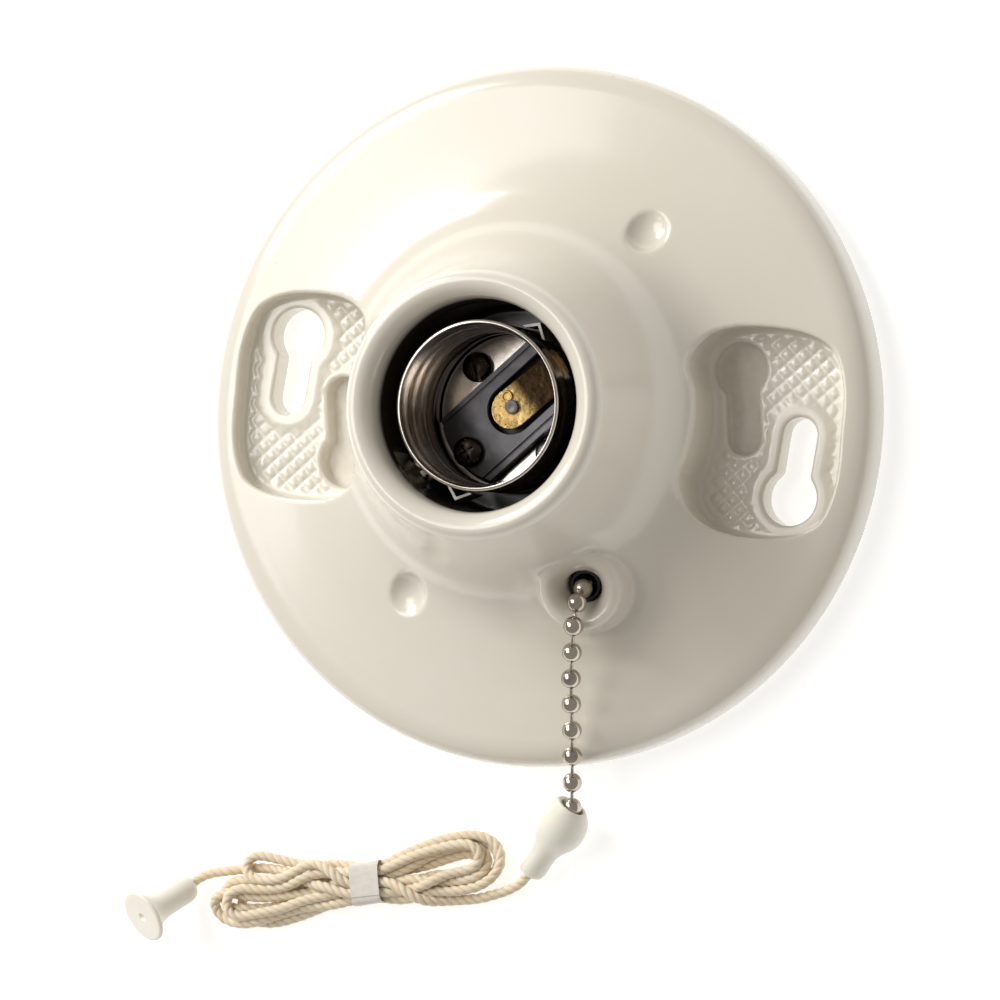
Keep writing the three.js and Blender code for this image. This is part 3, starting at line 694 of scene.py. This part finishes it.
# ---- porcelain ----
# Half section from the back edge over the disc and neck to the lip: radius and height.
GLAZE = [
    (56.0, 0), (56.7, 0.2), (57.05, 0.65), (57.15, 1.4), (57.15, 4.9), (56.8, 6.3), (55.9, 7.35),
    (54.2, 8.1), (51.5, 8.5), (48, 8.95), (43.5, 9.6), (38.8, 10.55), (35.2, 11.6), (32.2, 13.2),
    (29.6, 15.6), (27.4, 18.8), (25.4, 23), (23.8, 28), (22.6, 32.6), (21.9, 35.6), (21.3, 37.4),
    (20.2, 38.4), (18.7, 38), (17.5, 36.8), (16.9, 35),
]
SOCKET_R, SOCKET_FLOOR = 16.9, 16.6
THROAT_R = 12.4
CASE_WELL_R, CASE_WELL_TOP = 20.5, 13.3
WELL_OUT, WELL_AZIMUTHS, WELL_R, WELL_LOW, WELL_HIGH = 16.3, (40, 220), 3.8, 12, 31
DIMPLE_AT, DIMPLE_BALL = np.array([18.5, 31.7, 14.8]), 4.9
SPOUT_AT = np.array([13.85, -27.2, 16.0])
SPOUT_AXIS = polar(math.sin(math.radians(13)), -63.5, math.cos(math.radians(13)))
# Half section of the spout along its own axis: radius and height.
SPOUT_FORM = [
    (9.4, -7), (9.2, -4.4), (7.9, -2.4), (7.1, 0.4), (6.8, 2.2), (6.5, 3.1),
    (5.6, 3.6), (4.6, 3.1), (3.5, 1.6), (2.8, -0.6),
]
SPOUT_BORE_R, SPOUT_BORE_END = 2.8, -11.5
CHAIN_CORNER = np.array([12.737, -24.969, 5.2])
CHAIN_RUN = np.array([0.63739, -0.77054, 0])
TUNNEL_R = 2.6
PAD_OUTLINE = [
    (28.0, 10.5), (29.4, 5.5), (29.8, 1), (29.3, -4), (28.0, -9.5), (29.6, -14), (34, -16.6),
    (44.5, -16.7), (49.5, -14.2), (51.9, -8), (52.2, 0), (51.9, 8.5), (49.6, 14), (45, 16.2),
    (34.5, 16.4), (30, 14.6),
]
PAD_FLOOR, BLIND_KEY_FLOOR = 4.7, 2.4
WAFFLE, WAFFLE_DEPTH = 2.0, 0.38
# Keyholes: middle of the slot's far end, and middle of the head.
OUTER_KEY = ((44.45, 0), (43.55, -10.2))
INNER_KEY = ((34.9, -1.1), (33.4, 9.75))
KEY_SLOT_R, KEY_HEAD_R = 2.85, 4.5
OUTSIDE = 99.0


def blend_max(a, b, k):
    h = np.clip(0.5 - 0.5 * (b - a) / k, 0, 1)
    return b + (a - b) * h + k * h * (1 - h)


def blend_min(a, b, k):
    return -blend_max(-a, -b, k)


def outline_distance(x, y, outline):
    """Signed distance to a closed outline, negative inside."""
    best = np.full(x.shape, 1e9)
    inside = np.zeros(x.shape, bool)
    for (x0, y0), (x1, y1) in zip(outline, np.roll(outline, -1, axis=0)):
        ex, ey = x1 - x0, y1 - y0
        wx, wy = x - x0, y - y0
        t = np.clip((wx * ex + wy * ey) / max(ex * ex + ey * ey, 1e-12), 0, 1)
        best = np.minimum(best, (wx - ex * t) ** 2 + (wy - ey * t) ** 2)
        if y0 != y1:
            crosses = (y0 > y) != (y1 > y)
            inside ^= crosses & (x < ex * (y - y0) / ey + x0)
    return np.where(inside, -1, 1) * np.sqrt(best)


def key_distance(x, y, key):
    """Distance to a keyhole: a slot from the narrow end to the round head."""
    (nx, ny), (bx, by) = key
    ex, ey = bx - nx, by - ny
    t = np.clip(((x - nx) * ex + (y - ny) * ey) / (ex * ex + ey * ey), 0, 1)
    slot = np.hypot(x - nx - ex * t, y - ny - ey * t) - KEY_SLOT_R
    return blend_min(slot, np.hypot(x - bx, y - by) - KEY_HEAD_R, 0.5)


GLAZE_LINE = np.vstack([[(0, 0)], smooth_line(GLAZE, 0.5), [(16.9, 30), (0, 30)]])
SPOUT_LINE = np.vstack([[(0, -7)], smooth_line(SPOUT_FORM, 0.5), [(0, -0.6)]])
PAD_LINE = smooth_line(PAD_OUTLINE, 1.2, closed=True)[:-1]


def smooth_step(value, low, high):
    """0 at low, 1 at high, eased at both ends; low may be the larger."""
    t = np.clip((value - low) / (high - low), 0, 1)
    return t * t * (3 - 2 * t)


def waffle_groove(x, y):
    """Depth pattern from 0 to 1 of two families of grooves that cross."""
    lines = [np.abs((((x + way * y) / (math.sqrt(2) * WAFFLE)) % 1) - 0.5) * WAFFLE for way in (1, -1)]
    return np.maximum(*(smooth_step(line, 0.6, 0) for line in lines))


def along_and_away(p, at, axis):
    """How far points lie along an axis and away from it."""
    rel = p - at
    along = rel @ axis
    return along, np.sqrt(np.maximum((rel**2).sum(axis=1) - along * along, 0))


def outer_form(p, r):
    """Disc, neck and lip, with the spout grown out of them."""
    along, away = along_and_away(p, SPOUT_AT, SPOUT_AXIS)
    near = away < 16
    spout = np.full(len(p), 9.0)
    spout[near] = outline_distance(away[near], along[near], SPOUT_LINE)
    field = outline_distance(r, p[:, 2], GLAZE_LINE)
    return blend_min(field, spout, 1.6 + 3.4 * smooth_step(away, 6.4, 10.5))


def socket_cut(field, x, y, z, r):
    """Socket, throat, the switch case's well in the back and two wells for the terminals."""
    field = blend_max(field, -np.maximum(r - SOCKET_R, SOCKET_FLOOR - z), 0.6)
    field = blend_max(field, -(r - THROAT_R), 0.5)
    field = blend_max(field, -np.maximum(r - CASE_WELL_R, z - CASE_WELL_TOP), 0.4)
    for azimuth in WELL_AZIMUTHS:
        cx, cy, _ = polar(WELL_OUT, azimuth)
        well = np.maximum(np.hypot(x - cx, y - cy) - WELL_R, z - WELL_HIGH)
        field = blend_max(field, -np.maximum(well, WELL_LOW - z), 0.5)
    return field


def pad_cut(field, x, y, z):
    """Two sunk pads half a turn apart, each waffled, with an open keyhole and a blind one."""
    side = np.where(x > 0, 1.0, -1.0)
    u, v = side * x, side * y
    pad = u > 25
    outline, outer, inner = (np.full(len(x), OUTSIDE) for _ in range(3))
    outline[pad] = outline_distance(u[pad], v[pad], PAD_LINE)
    outer[pad] = key_distance(u[pad], v[pad], OUTER_KEY)
    inner[pad] = key_distance(u[pad], v[pad], INNER_KEY)
    collar = smooth_step(outer, 3.4, 1.6)
    plain = np.maximum(collar, smooth_step(inner, 1.4, 0.5))
    wear_and_shade = 0.4 + 0.6 * smooth_step(np.abs(v), 7, 13)
    groove = WAFFLE_DEPTH * waffle_groove(x, y) * wear_and_shade * (1 - plain) * smooth_step(-outline, 0.9, 2.0)
    floor = PAD_FLOOR + 0.12 + 0.25 * collar - groove
    field = blend_max(field, -blend_max(outline, floor - z, 0.9), 0.6)
    field = blend_max(field, -outer, 0.5)
    return blend_max(field, -np.maximum(inner, BLIND_KEY_FLOOR - z), 0.6)


def chain_cut(field, p):
    """The spout's bore and the tunnel that meets it at the chain's corner."""
    along, away = along_and_away(p, SPOUT_AT, SPOUT_AXIS)
    bore = np.maximum(away - SPOUT_BORE_R, np.maximum(along - 1, SPOUT_BORE_END - along))
    field = blend_max(field, -bore, 0.3)
    along, away = along_and_away(p, CHAIN_CORNER, CHAIN_RUN)
    tunnel = np.maximum(away - TUNNEL_R, np.maximum(along - 1.5, -12 - along))
    return blend_max(field, -tunnel, 0.3)


def body_field(p):
    """Below zero inside the porcelain."""
    x, y, z = p[:, 0], p[:, 1], p[:, 2]
    r = np.hypot(x, y)
    field = pad_cut(socket_cut(outer_form(p, r), x, y, z, r), x, y, z)
    for turn in (1, -1):
        dimple = np.linalg.norm(p - DIMPLE_AT * (turn, turn, 1), axis=1) - DIMPLE_BALL
        field = blend_max(field, -dimple, 0.35)
    return chain_cut(field, p)


def worked(p):
    """Where the skin carries small forms: pads, dimples, spout and the socket's mouth."""
    u, v = np.abs(p[:, 0]), p[:, 1] * np.where(p[:, 0] > 0, 1, -1)
    front = p[:, 2] > 2
    pad = front & (u > 27) & (u < 54) & (np.abs(v) < 19)
    dimple = front & (np.hypot(u - DIMPLE_AT[0], v - DIMPLE_AT[1]) < DIMPLE_BALL)
    spout = front & (np.hypot(p[:, 0] - SPOUT_AT[0], p[:, 1] - SPOUT_AT[1]) < 9.5)
    return pad | dimple | spout


def refined(obj, chosen):
    """Splits the faces whose vertices are chosen."""
    bm = bmesh.new()
    bm.from_mesh(obj.data)
    p = np.array([vertex.co[:] for vertex in bm.verts]) / MM
    inside = chosen(p)
    edges = [e for e in bm.edges if inside[e.verts[0].index] and inside[e.verts[1].index]]
    bmesh.ops.subdivide_edges(bm, edges=edges, cuts=1, use_grid_fill=True)
    bm.to_mesh(obj.data)
    bm.free()


def drawn_onto(p, field, rounds=4, tiny=0.02, longest=0.4):
    """Points moved down a field's slope onto its zero."""
    for _ in range(rounds):
        value = field(p)
        slope = np.stack([(field(p + tiny * e) - value) / tiny for e in np.eye(3)], axis=1)
        size = np.maximum((slope**2).sum(axis=1), 0.25)
        p += np.clip(-(value / size)[:, None] * slope, -longest, longest)
    return p


def finish_marks(p):
    """From 0 to 1: where the body is bare biscuit, and where the socket's wall carries painted shade."""
    r, z = np.hypot(p[:, 0], p[:, 1]), p[:, 2]
    side = np.where(p[:, 0] > 0, 1, -1)
    blind = smooth_step(key_distance(side * p[:, 0], side * p[:, 1], INNER_KEY), 0.4, -0.5)
    back = np.clip((0.5 - z) / 0.4, 0, 1)
    bare = np.maximum(back, (r < CASE_WELL_R + 0.3) & (z < CASE_WELL_TOP + 0.3))
    bare = np.maximum(bare, 0.75 * blind * (z > 1.8) * (z < 5))
    # painted shade on the socket's wall, fading in just below the lip and full further down
    well = np.clip((34.6 - z) / 1.8, 0, 1) * ((r < SOCKET_R + 0.7) & (z > SOCKET_FLOOR - 0.6))
    return {"bare": bare, "well": well}


def porcelain():
    """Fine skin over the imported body, drawn onto the smooth form."""
    obj = linked("porcelain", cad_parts["porcelain_body"].data.copy())
    modified(obj, "REMESH", mode="VOXEL", voxel_size=0.62 * MM)
    refined(obj, worked)
    flat = np.zeros(len(obj.data.vertices) * 3, np.float32)
    obj.data.vertices.foreach_get("co", flat)
    p = drawn_onto(flat.reshape(-1, 3).astype(float) / MM, body_field)
    obj.data.vertices.foreach_set("co", (p * MM).astype(np.float32).reshape(-1))
    obj.data.update()
    obj.data.shade_smooth()
    for name, values in finish_marks(p).items():
        kept_with_points(obj.data, name, values)
    obj.data.materials.clear()
    attached(obj, "base", "porcelain", ("porcelain_body",))


porcelain()


# ---- screw shell ----
BAR_TURN, BAR_HALF, SLOT_R = 45, 6.55, 4.1
CONTACT_AT = (0.3, 0.2)
SHELL_LOW, SHELL_HIGH, SHEET = 17, 35, 0.5
# Height and radius of the wall's smooth form, before the thread is rolled in.
SHELL_WALL = np.array([
    (17, 12.9), (17.4, 13.2), (19, 13.2), (33.2, 13.3), (34.2, 13.74), (34.7, 13.74), (35, 13.5),
])
FLOOR_R = 13


def thread_wall(columns, rows):
    """Angles, heights, and the radii outside and inside of the rolled wall."""
    largest, wave, pitch, bead = 13.74, 0.34, 3.63, 0.25
    angles = around(columns)
    rim = SHELL_HIGH - bead + bead * np.sin(np.linspace(0, math.pi / 2, 7)[1:])
    z = np.concatenate([np.linspace(SHELL_LOW, SHELL_HIGH - bead, rows - len(rim)), rim])
    fade = np.clip((z - 19.3) / 1.6, 0, 1) * np.clip((33.6 - z) / 1.4, 0, 1)
    wall = np.interp(z, SHELL_WALL[:, 0], SHELL_WALL[:, 1])
    phase = 2 * math.pi * z[:, None] / pitch - angles[None, :]
    outer = np.minimum(wall[:, None] + wave * fade[:, None] * (np.cos(phase) - 0.35), largest)
    inner = outer - SHEET
    shrink = bead - np.sqrt(np.maximum(bead**2 - np.maximum(z - SHELL_HIGH + bead, 0) ** 2, 0))
    return angles, z, outer - 0.95 * shrink[:, None], inner + 0.95 * shrink[:, None]


def screw_shell():
    """Rolled thread with a rolled rim, and the floor in two pieces beside the bar."""
    columns, rows = 120, 84
    angles, z, outer, inner = thread_wall(columns, rows)
    heights = np.repeat(z[:, None], columns, 1)
    outside, inside = (np.stack([r * np.cos(angles), r * np.sin(angles), np.maximum(heights, low)], 2)
                       for r, low in ((outer, SHELL_LOW), (inner, SHELL_LOW + SHEET)))
    wall = np.vstack([outside, inside[::-1]]).reshape(-1, 3)
    parts = [(wall, grid_faces(2 * rows, columns, closed_rows=True))]
    start = math.degrees(math.asin((BAR_HALF + 0.3) / FLOOR_R))
    for half in (0, 180):
        arc = [polar(FLOOR_R, BAR_TURN + half + start + (180 - 2 * start) * k / 40)[:2] for k in range(41)]
        parts.append(slab(arc, SHELL_LOW, SHELL_LOW + SHEET))
    piece("screw_shell_fine", merged(*parts), "base", "aluminium", ("screw_shell",), angle=40)


screw_shell()


# ---- screws and rivets ----
def screw(name, node, at, z, radius, head, drive, finish, turn=0, shank=None, dome=0.5):
    """A headed screw with its driver recess, or a plain rivet, on a shank if it has one."""
    shoulder = radius * 0.93
    form = [(0, 0), (shoulder, 0), (radius, 0.08), (radius, head * dome), (shoulder, head * (dome + 0.2)),
            (radius * 0.7, head * 0.93), (radius * 0.35, head), (0, head)]
    obj = piece(name, placed(turned(form, 40), (*at, z)), "base", finish, (node,), angle=35)
    top = (*at, z + head)
    recess = {"slot": [((2 * radius + 1, 0.62, 1.3), turn)],
              "cross": [((2.7, 0.62, 1.5), turn + k) for k in (0, 90)], "none": []}
    carved(obj, *(brick(size, top, spin) for size, spin in recess[drive]))
    if shank:
        joined(obj, mesh_of("thread", placed(thread(*shank), (*at, z))))
    bevelled(obj, 0.06, 2, 45)


def thread(width, depth, pitch=0.7):
    """Coarse ridges down a shank."""
    rows = int(depth / pitch) * 2
    ridges = [(width * (1 if k % 2 else 0.82), -k * depth / rows) for k in range(rows + 1)]
    return turned([(0, -depth - 0.3), *ridges[::-1], (0, 0.05)], 20)


screw("floor_screw_slotted", "shell_screw_slotted", (-6.8, 6.65), 17.65, 2.45, 1.5, "slot", "steel",
      turn=20, shank=(1.1, 5.6))
screw("floor_screw_cross", "bar_screw_cross", (-6.2, -7.2), 20.15, 2.45, 1.4, "cross", "steel",
      turn=35, shank=(1.1, 8))
screw("floor_rivet", "shell_rivet", (6.5, -6.3), 17.65, 2.2, 0.9, "none", "zinc", shank=(1.1, 5.6), dome=0.3)
for name, node, azimuth, finish in (
    ("terminal_screw_brass", "hot_terminal_screw", 40, "brass"),
    ("terminal_screw_nickel", "neutral_terminal_screw", 220, "nickel"),
):
    screw(name, node, polar(17, azimuth)[:2], 24.15, 2.2, 1.65, "slot", finish,
          turn=azimuth + 70, shank=(1.0, 4))


# ---- switch bar and contact ----
def along_bar(solid, shift=(0, 0)):
    """A solid turned from +X to the bar's direction and then shifted across Z."""
    c, s, _ = polar(1, BAR_TURN)
    x, y, z = solid[0].T
    return np.stack([x * c - y * s + shift[0], x * s + y * c + shift[1], z], axis=1), solid[1]


def switch_bar():
    """Moulded bar on its disc, with lipped edges and a round-ended recess for the contact."""
    reach, bar_low, bar_high = 11.7, 15.5, 20
    recess_low, groove_low = 17.6, 19.55
    sweep = math.degrees(math.asin(BAR_HALF / reach))
    outline = [polar(reach, end + sweep * (k / 8 - 1))[:2] for end in (0, 180) for k in range(17)]
    bar = along_bar(slab(outline, bar_low, bar_high))
    obj = piece("switch_bar", bar, "base", "phenolic", ("bridge_bar",), angle=30)
    eye = [tuple(polar(SLOT_R, 90 + 180 * k / 24)[:2]) for k in range(25)]
    recess = along_bar(slab([(16, -SLOT_R), (16, SLOT_R), *eye], recess_low, 22), CONTACT_AT)
    grooves = (along_bar(slab([(-15, inner), (15, inner), (15, outer), (-15, outer)], groove_low, 21))
               for inner, outer in ((5.35, 5.8), (-5.8, -5.35)))
    carved(obj, recess, *grooves)
    bevelled(obj, 0.18, 3, 40)
    joined(obj, mesh_of("disc", plug(12, 13.4, 16.65, 72)))


switch_bar()


def contact_leaf():
    """Brass leaf with a round end, sloping down from it, and a small embossed ring."""
    half, length, thick, top = 3.2, 9.8, 0.5, 20
    slope = math.tan(math.radians(10))
    stations = np.linspace(0, length, 14)[1:-1]
    outline = [(length, half), *((x, half) for x in stations[::-1]),
               *(tuple(polar(half, 90 + 180 * k / 28)[:2]) for k in range(29)),
               *((x, -half) for x in stations), (length, -half)]
    points, faces = slab(outline, 0, thick)
    points[:, 2] += top - slope * np.maximum(points[:, 0], 0)
    strip = along_bar((points, faces), CONTACT_AT)
    leaf = piece("contact_leaf", strip, "contact", "leaf", ("contact_tongue",), angle=30)
    bevelled(leaf, 0.12, 2, 40)
    t, w = np.meshgrid(around(28), around(8), indexing="ij")
    out = 0.8 + 0.2 * np.cos(w)
    ring = np.stack([out * np.cos(t) - 0.4, out * np.sin(t) + 2.2, top + thick + 0.2 * np.sin(w)], axis=2)
    mesh = mesh_of("ring", (ring.reshape(-1, 3), grid_faces(28, 8, closed_rows=True)))
    mesh.shade_smooth()
    joined(leaf, mesh)


def contact_rivet():
    """Button riveted through the leaf's round end."""
    form = [(0, 19.4), (0.85, 19.4), (0.85, 20.75), (1.1, 20.78), (1.15, 20.95), (1.05, 21.25), (0.7, 21.36),
            (0.45, 21.3), (0, 21.28)]
    piece("contact_rivet", placed(turned(form, 36), (0.72, 0.6, 0)), "contact", "zinc", ("contact_button",),
          angle=35)


contact_leaf()
contact_rivet()


# ---- chain ----
BEAD_R, BEAD_PITCH = 1.6, 4.55
SPOUT_BEAD = np.array([13.95, -27.5, 16.6])
INNER = [SPOUT_BEAD - k * BEAD_PITCH * SPOUT_AXIS for k in (2, 1, 0)] + [np.array([14.3, -29.9, 20.0])]
OUTER = [np.array(p, float) for p in (
    (14.2, -33.7, 20.4), (13.65, -37.9, 18.5), (13.2, -42.1, 16.6), (12.95, -46.2, 14.7),
    (12.75, -50.4, 12.8), (12.5, -54.6, 10.9), (12.2, -58.9, 9.0), (11.85, -62.9, 7.1))]


def bead(name, node, at, toward, body):
    """A rolled hollow bead with a lengthwise seam and a rimmed hole, and the link's rod."""
    direction = unit(toward - at)
    gap = np.linalg.norm(toward - at)
    bow = [(BEAD_R * math.cos(a), BEAD_R * math.sin(a)) for a in np.radians(np.linspace(-78, 78, 25))]
    points, faces = turned([(0, -1.35), (0.3, -1.36), *bow, (0.3, 1.36), (0, 1.35)], 36)
    azimuth = np.arctan2(points[:, 1], points[:, 0])
    points[:, :2] *= (1 - 0.05 * np.exp(-(azimuth / 0.05) ** 2))[:, None]
    rod = [(0, 1.2), (0.42, 1.25), (0.3, 1.6), (0.27, gap / 2), (0.3, gap - 1.62), (0.42, gap - 1.52),
           (0, gap - 1.5)]
    parts = placed((points, faces), at, direction, 40), placed(turned(rod, 16), at, direction)
    piece(name, merged(*parts), body, "nickel", (node,), angle=50)


for index, at in enumerate(INNER[:3]):
    bead(f"throat_bead_{index + 1}", f"inner_bead_{index + 1}", at, INNER[index + 1], "chain_throat")
onward = 2 * INNER[3] - OUTER[0] + np.array([0, 0, 0.01])
bead("throat_bead_4", "inner_bead_4", INNER[3], onward, "chain_throat")
for index, at in enumerate(OUTER):
    toward = OUTER[index - 1] if index else INNER[3]
    bead(f"chain_bead_{index + 1}", f"outer_bead_{index + 1}", at, toward,
         "chain_hang" if index else "chain_swivel")


# ---- ivory fittings ----
BULB = np.array([9.25, -66.5, 4.6])
BARREL_END = np.array([3.9, -74.3, 2.85])


def bell_connector():
    """Bell coupling moulded in two halves: mouth for the last bead, ridge at the parting line."""
    along = BARREL_END - BULB
    length = np.linalg.norm(along)
    form = [(0, -4), (1.7, -4.3), (2.1, -5), (2.6, -5.05), (3.2, -4.3), (3.8, -2.7), (4.15, -0.9), (4.1, 0.5),
            (3.7, 1.9), (3, 3.2), (2.5, 4.4), (2.35, 5.6), (2.35, length - 1.1), (2.1, length - 0.3),
            (1.5, length), (0, length)]
    points, faces = turned(smooth_line(form, 0.25), 64)
    angle = np.arctan2(points[:, 1], points[:, 0])
    ridge = np.exp(-((np.abs(np.abs(angle) - math.pi / 2)) / 0.045) ** 2) * 0.09
    reach = np.hypot(points[:, 0], points[:, 1])
    points[:, :2] *= (1 + ridge / np.maximum(reach, 1.0))[:, None]
    toward = OUTER[-1] - BULB
    aside = toward - np.dot(toward, unit(along)) * unit(along)
    bend = np.clip(-points[:, 2] / 4.8, 0, 1.1) ** 2
    points = placed((points, faces), BULB, along, 30)[0] + bend[:, None] * aside
    obj = piece("bell_connector", (points, faces), "chain_hang", "ivory", ("cord_connector",))
    carved(obj, placed(plug(1.9, 1.5, 9, 40), BULB, toward), placed(plug(1.05, -3, 3, 28), BARREL_END, along))
    return resharpened(obj, 40)


PULL_FOOT = (-55.5, -81.8, 1.9)
PULL_AXIS = unit((-0.455, -0.52, 0.72))


def bell_pull():
    """Small bell with a flat flange, a gate mark in its middle and a cord hole in its narrow end."""
    length = 11
    form = [(0, 0), (1.3, 0), (1.9, 0.35), (2.25, 1.1), (2.35, 2.2), (2.42, 6.4), (2.6, 7.8), (3.2, 9.2),
            (4.1, length - 1), (4.55, length - 0.6), (4.6, length - 0.3), (4.4, length - 0.05), (3.8, length)]
    gate = [(0.75, length), (0.6, length - 0.25), (0.25, length - 0.5), (0, length - 0.5)]
    bell = turned(np.vstack([smooth_line(form, 0.25), gate]), 64)
    obj = piece("bell_pull", placed(bell, PULL_FOOT, PULL_AXIS, 20), "chain_hang", "ivory", ("cord_pull",))
    carved(obj, placed(plug(1, -3, 2, 28), PULL_FOOT, PULL_AXIS))
    return resharpened(obj, 40)


def paper_band():
    """Paper band drawn round the hank, with its overlap on top and soft corners."""
    length, width, height = TIE["length"], TIE["width"] + 0.1, TIE["height"] + 0.1
    columns, rows, squareness, sheet = 88, 15, 0.42, 0.16
    along = np.linspace(-length / 2, length / 2, rows)[:, None]
    t = around(columns)
    x = width / 2 * np.sign(np.cos(t)) * np.abs(np.cos(t)) ** squareness
    z = height / 2 * np.sign(np.sin(t)) * np.abs(np.sin(t)) ** squareness
    wave = 0.072 * np.sin(3.1 * t + 0.7 * along) * (0.4 + np.abs(along) / length)
    lap = np.where((t > 0.9) & (t < 1.9), sheet, 0)
    grow = 1 + (wave + lap) / np.hypot(x, z)
    skew = along + 0.12 * np.sin(2 * t)
    points = np.stack(in_tie(skew, x * grow, np.maximum(height / 2 + z * grow, 0.06)), axis=2).reshape(-1, 3)
    obj = piece("paper_band", (points, grid_faces(rows, columns)), "chain_hang", "paper", ("hank_tie",))
    modified(obj, "SOLIDIFY", thickness=sheet * MM, offset=-1)
    return resharpened(obj, 50)


connector = bell_connector()
pull = bell_pull()
band = paper_band()


# ---- CAD nodes that stay ----
KEPT = {
    "liner": ["chain_bushing"],
    "brass": ["tongue_post", "hot_terminal", "contact_blade", "load_contact"],
    "nickel": ["neutral_terminal"] + [f"feed_bead_{i}" for i in (1, 2, 3, 4)],
    "zinc": ["shell_clip_front", "shell_clip_rear"],
    "steel": ["cover_screw_1", "cover_screw_2", "arbor_pin", "return_spring", "pawl"],
    "phenolic": ["switch_case", "pull_wheel"],
    "fibre": ["case_cover", "ratchet_rotor"],
}
for finish, names in KEPT.items():
    for name in names:
        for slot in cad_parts[name].material_slots:
            slot.material = FINISH[finish][0]


# ---- floor and light ----
SUN_TINT, TOP_TINT, WORLD_TINT = (1, 0.985, 0.96), (1, 0.99, 0.97), (1, 0.965, 0.9, 1)
# Name, place, aim, width, power and tint of each soft lamp.
LIGHTS = (
    ("key", (-0.62, 0.42, 0.52), (-0.02, 0, 0.01), 0.45, 5.0, SUN_TINT),
    ("window", (-0.68, 0.21, 1.02), (-0.02, 0.01, 0.01), 0.8, 4.6, SUN_TINT),
    ("top", (-0.44, 0.03, 1.22), (0, 0, 0.017), 0.3, 0.8, TOP_TINT),
)
FLOOR_HALF, FLOOR_Z = 6000, -0.2


def white_floor():
    """A wide white floor just under the part, glowing enough to stay white out of the light."""
    s = Shader("floor", (0.9, 0.9, 0.9), 0.9, Emission_Color=(1, 1, 1, 1), Emission_Strength=0.62)
    s.color(s.mix(s.band(s.noise(3, 2), 0.3, 0.7), (0.72, 0.72, 0.72), (0.71, 0.71, 0.71)))
    corners = [(x * FLOOR_HALF, y * FLOOR_HALF, FLOOR_Z) for x, y in ((-1, -1), (1, -1), (1, 1), (-1, 1))]
    mesh = mesh_of("floor", (corners, [(0, 1, 2, 3)]))
    mesh.materials.append(s.material)
    linked("floor", mesh)


def soft_lamp(name, at, aim, across, power, tint):
    data = bpy.data.lights.new(name, "AREA")
    data.shape = "RECTANGLE"
    data.size = across
    data.size_y = across * 0.7
    data.energy = power
    data.color = tint
    lamp = linked(name, data)
    lamp.location = at
    lamp.rotation_euler = (Vector(aim) - Vector(at)).to_track_quat("-Z", "Y").to_euler()


def studio():
    white_floor()
    world = bpy.data.worlds.new("studio")
    bpy.context.scene.world = world
    world.use_nodes = True
    filled(world.node_tree.nodes["Background"], Color=WORLD_TINT, Strength=0.34)
    for light in LIGHTS:
        soft_lamp(*light)
    bpy.context.scene.view_settings.view_transform = "Standard"


studio()
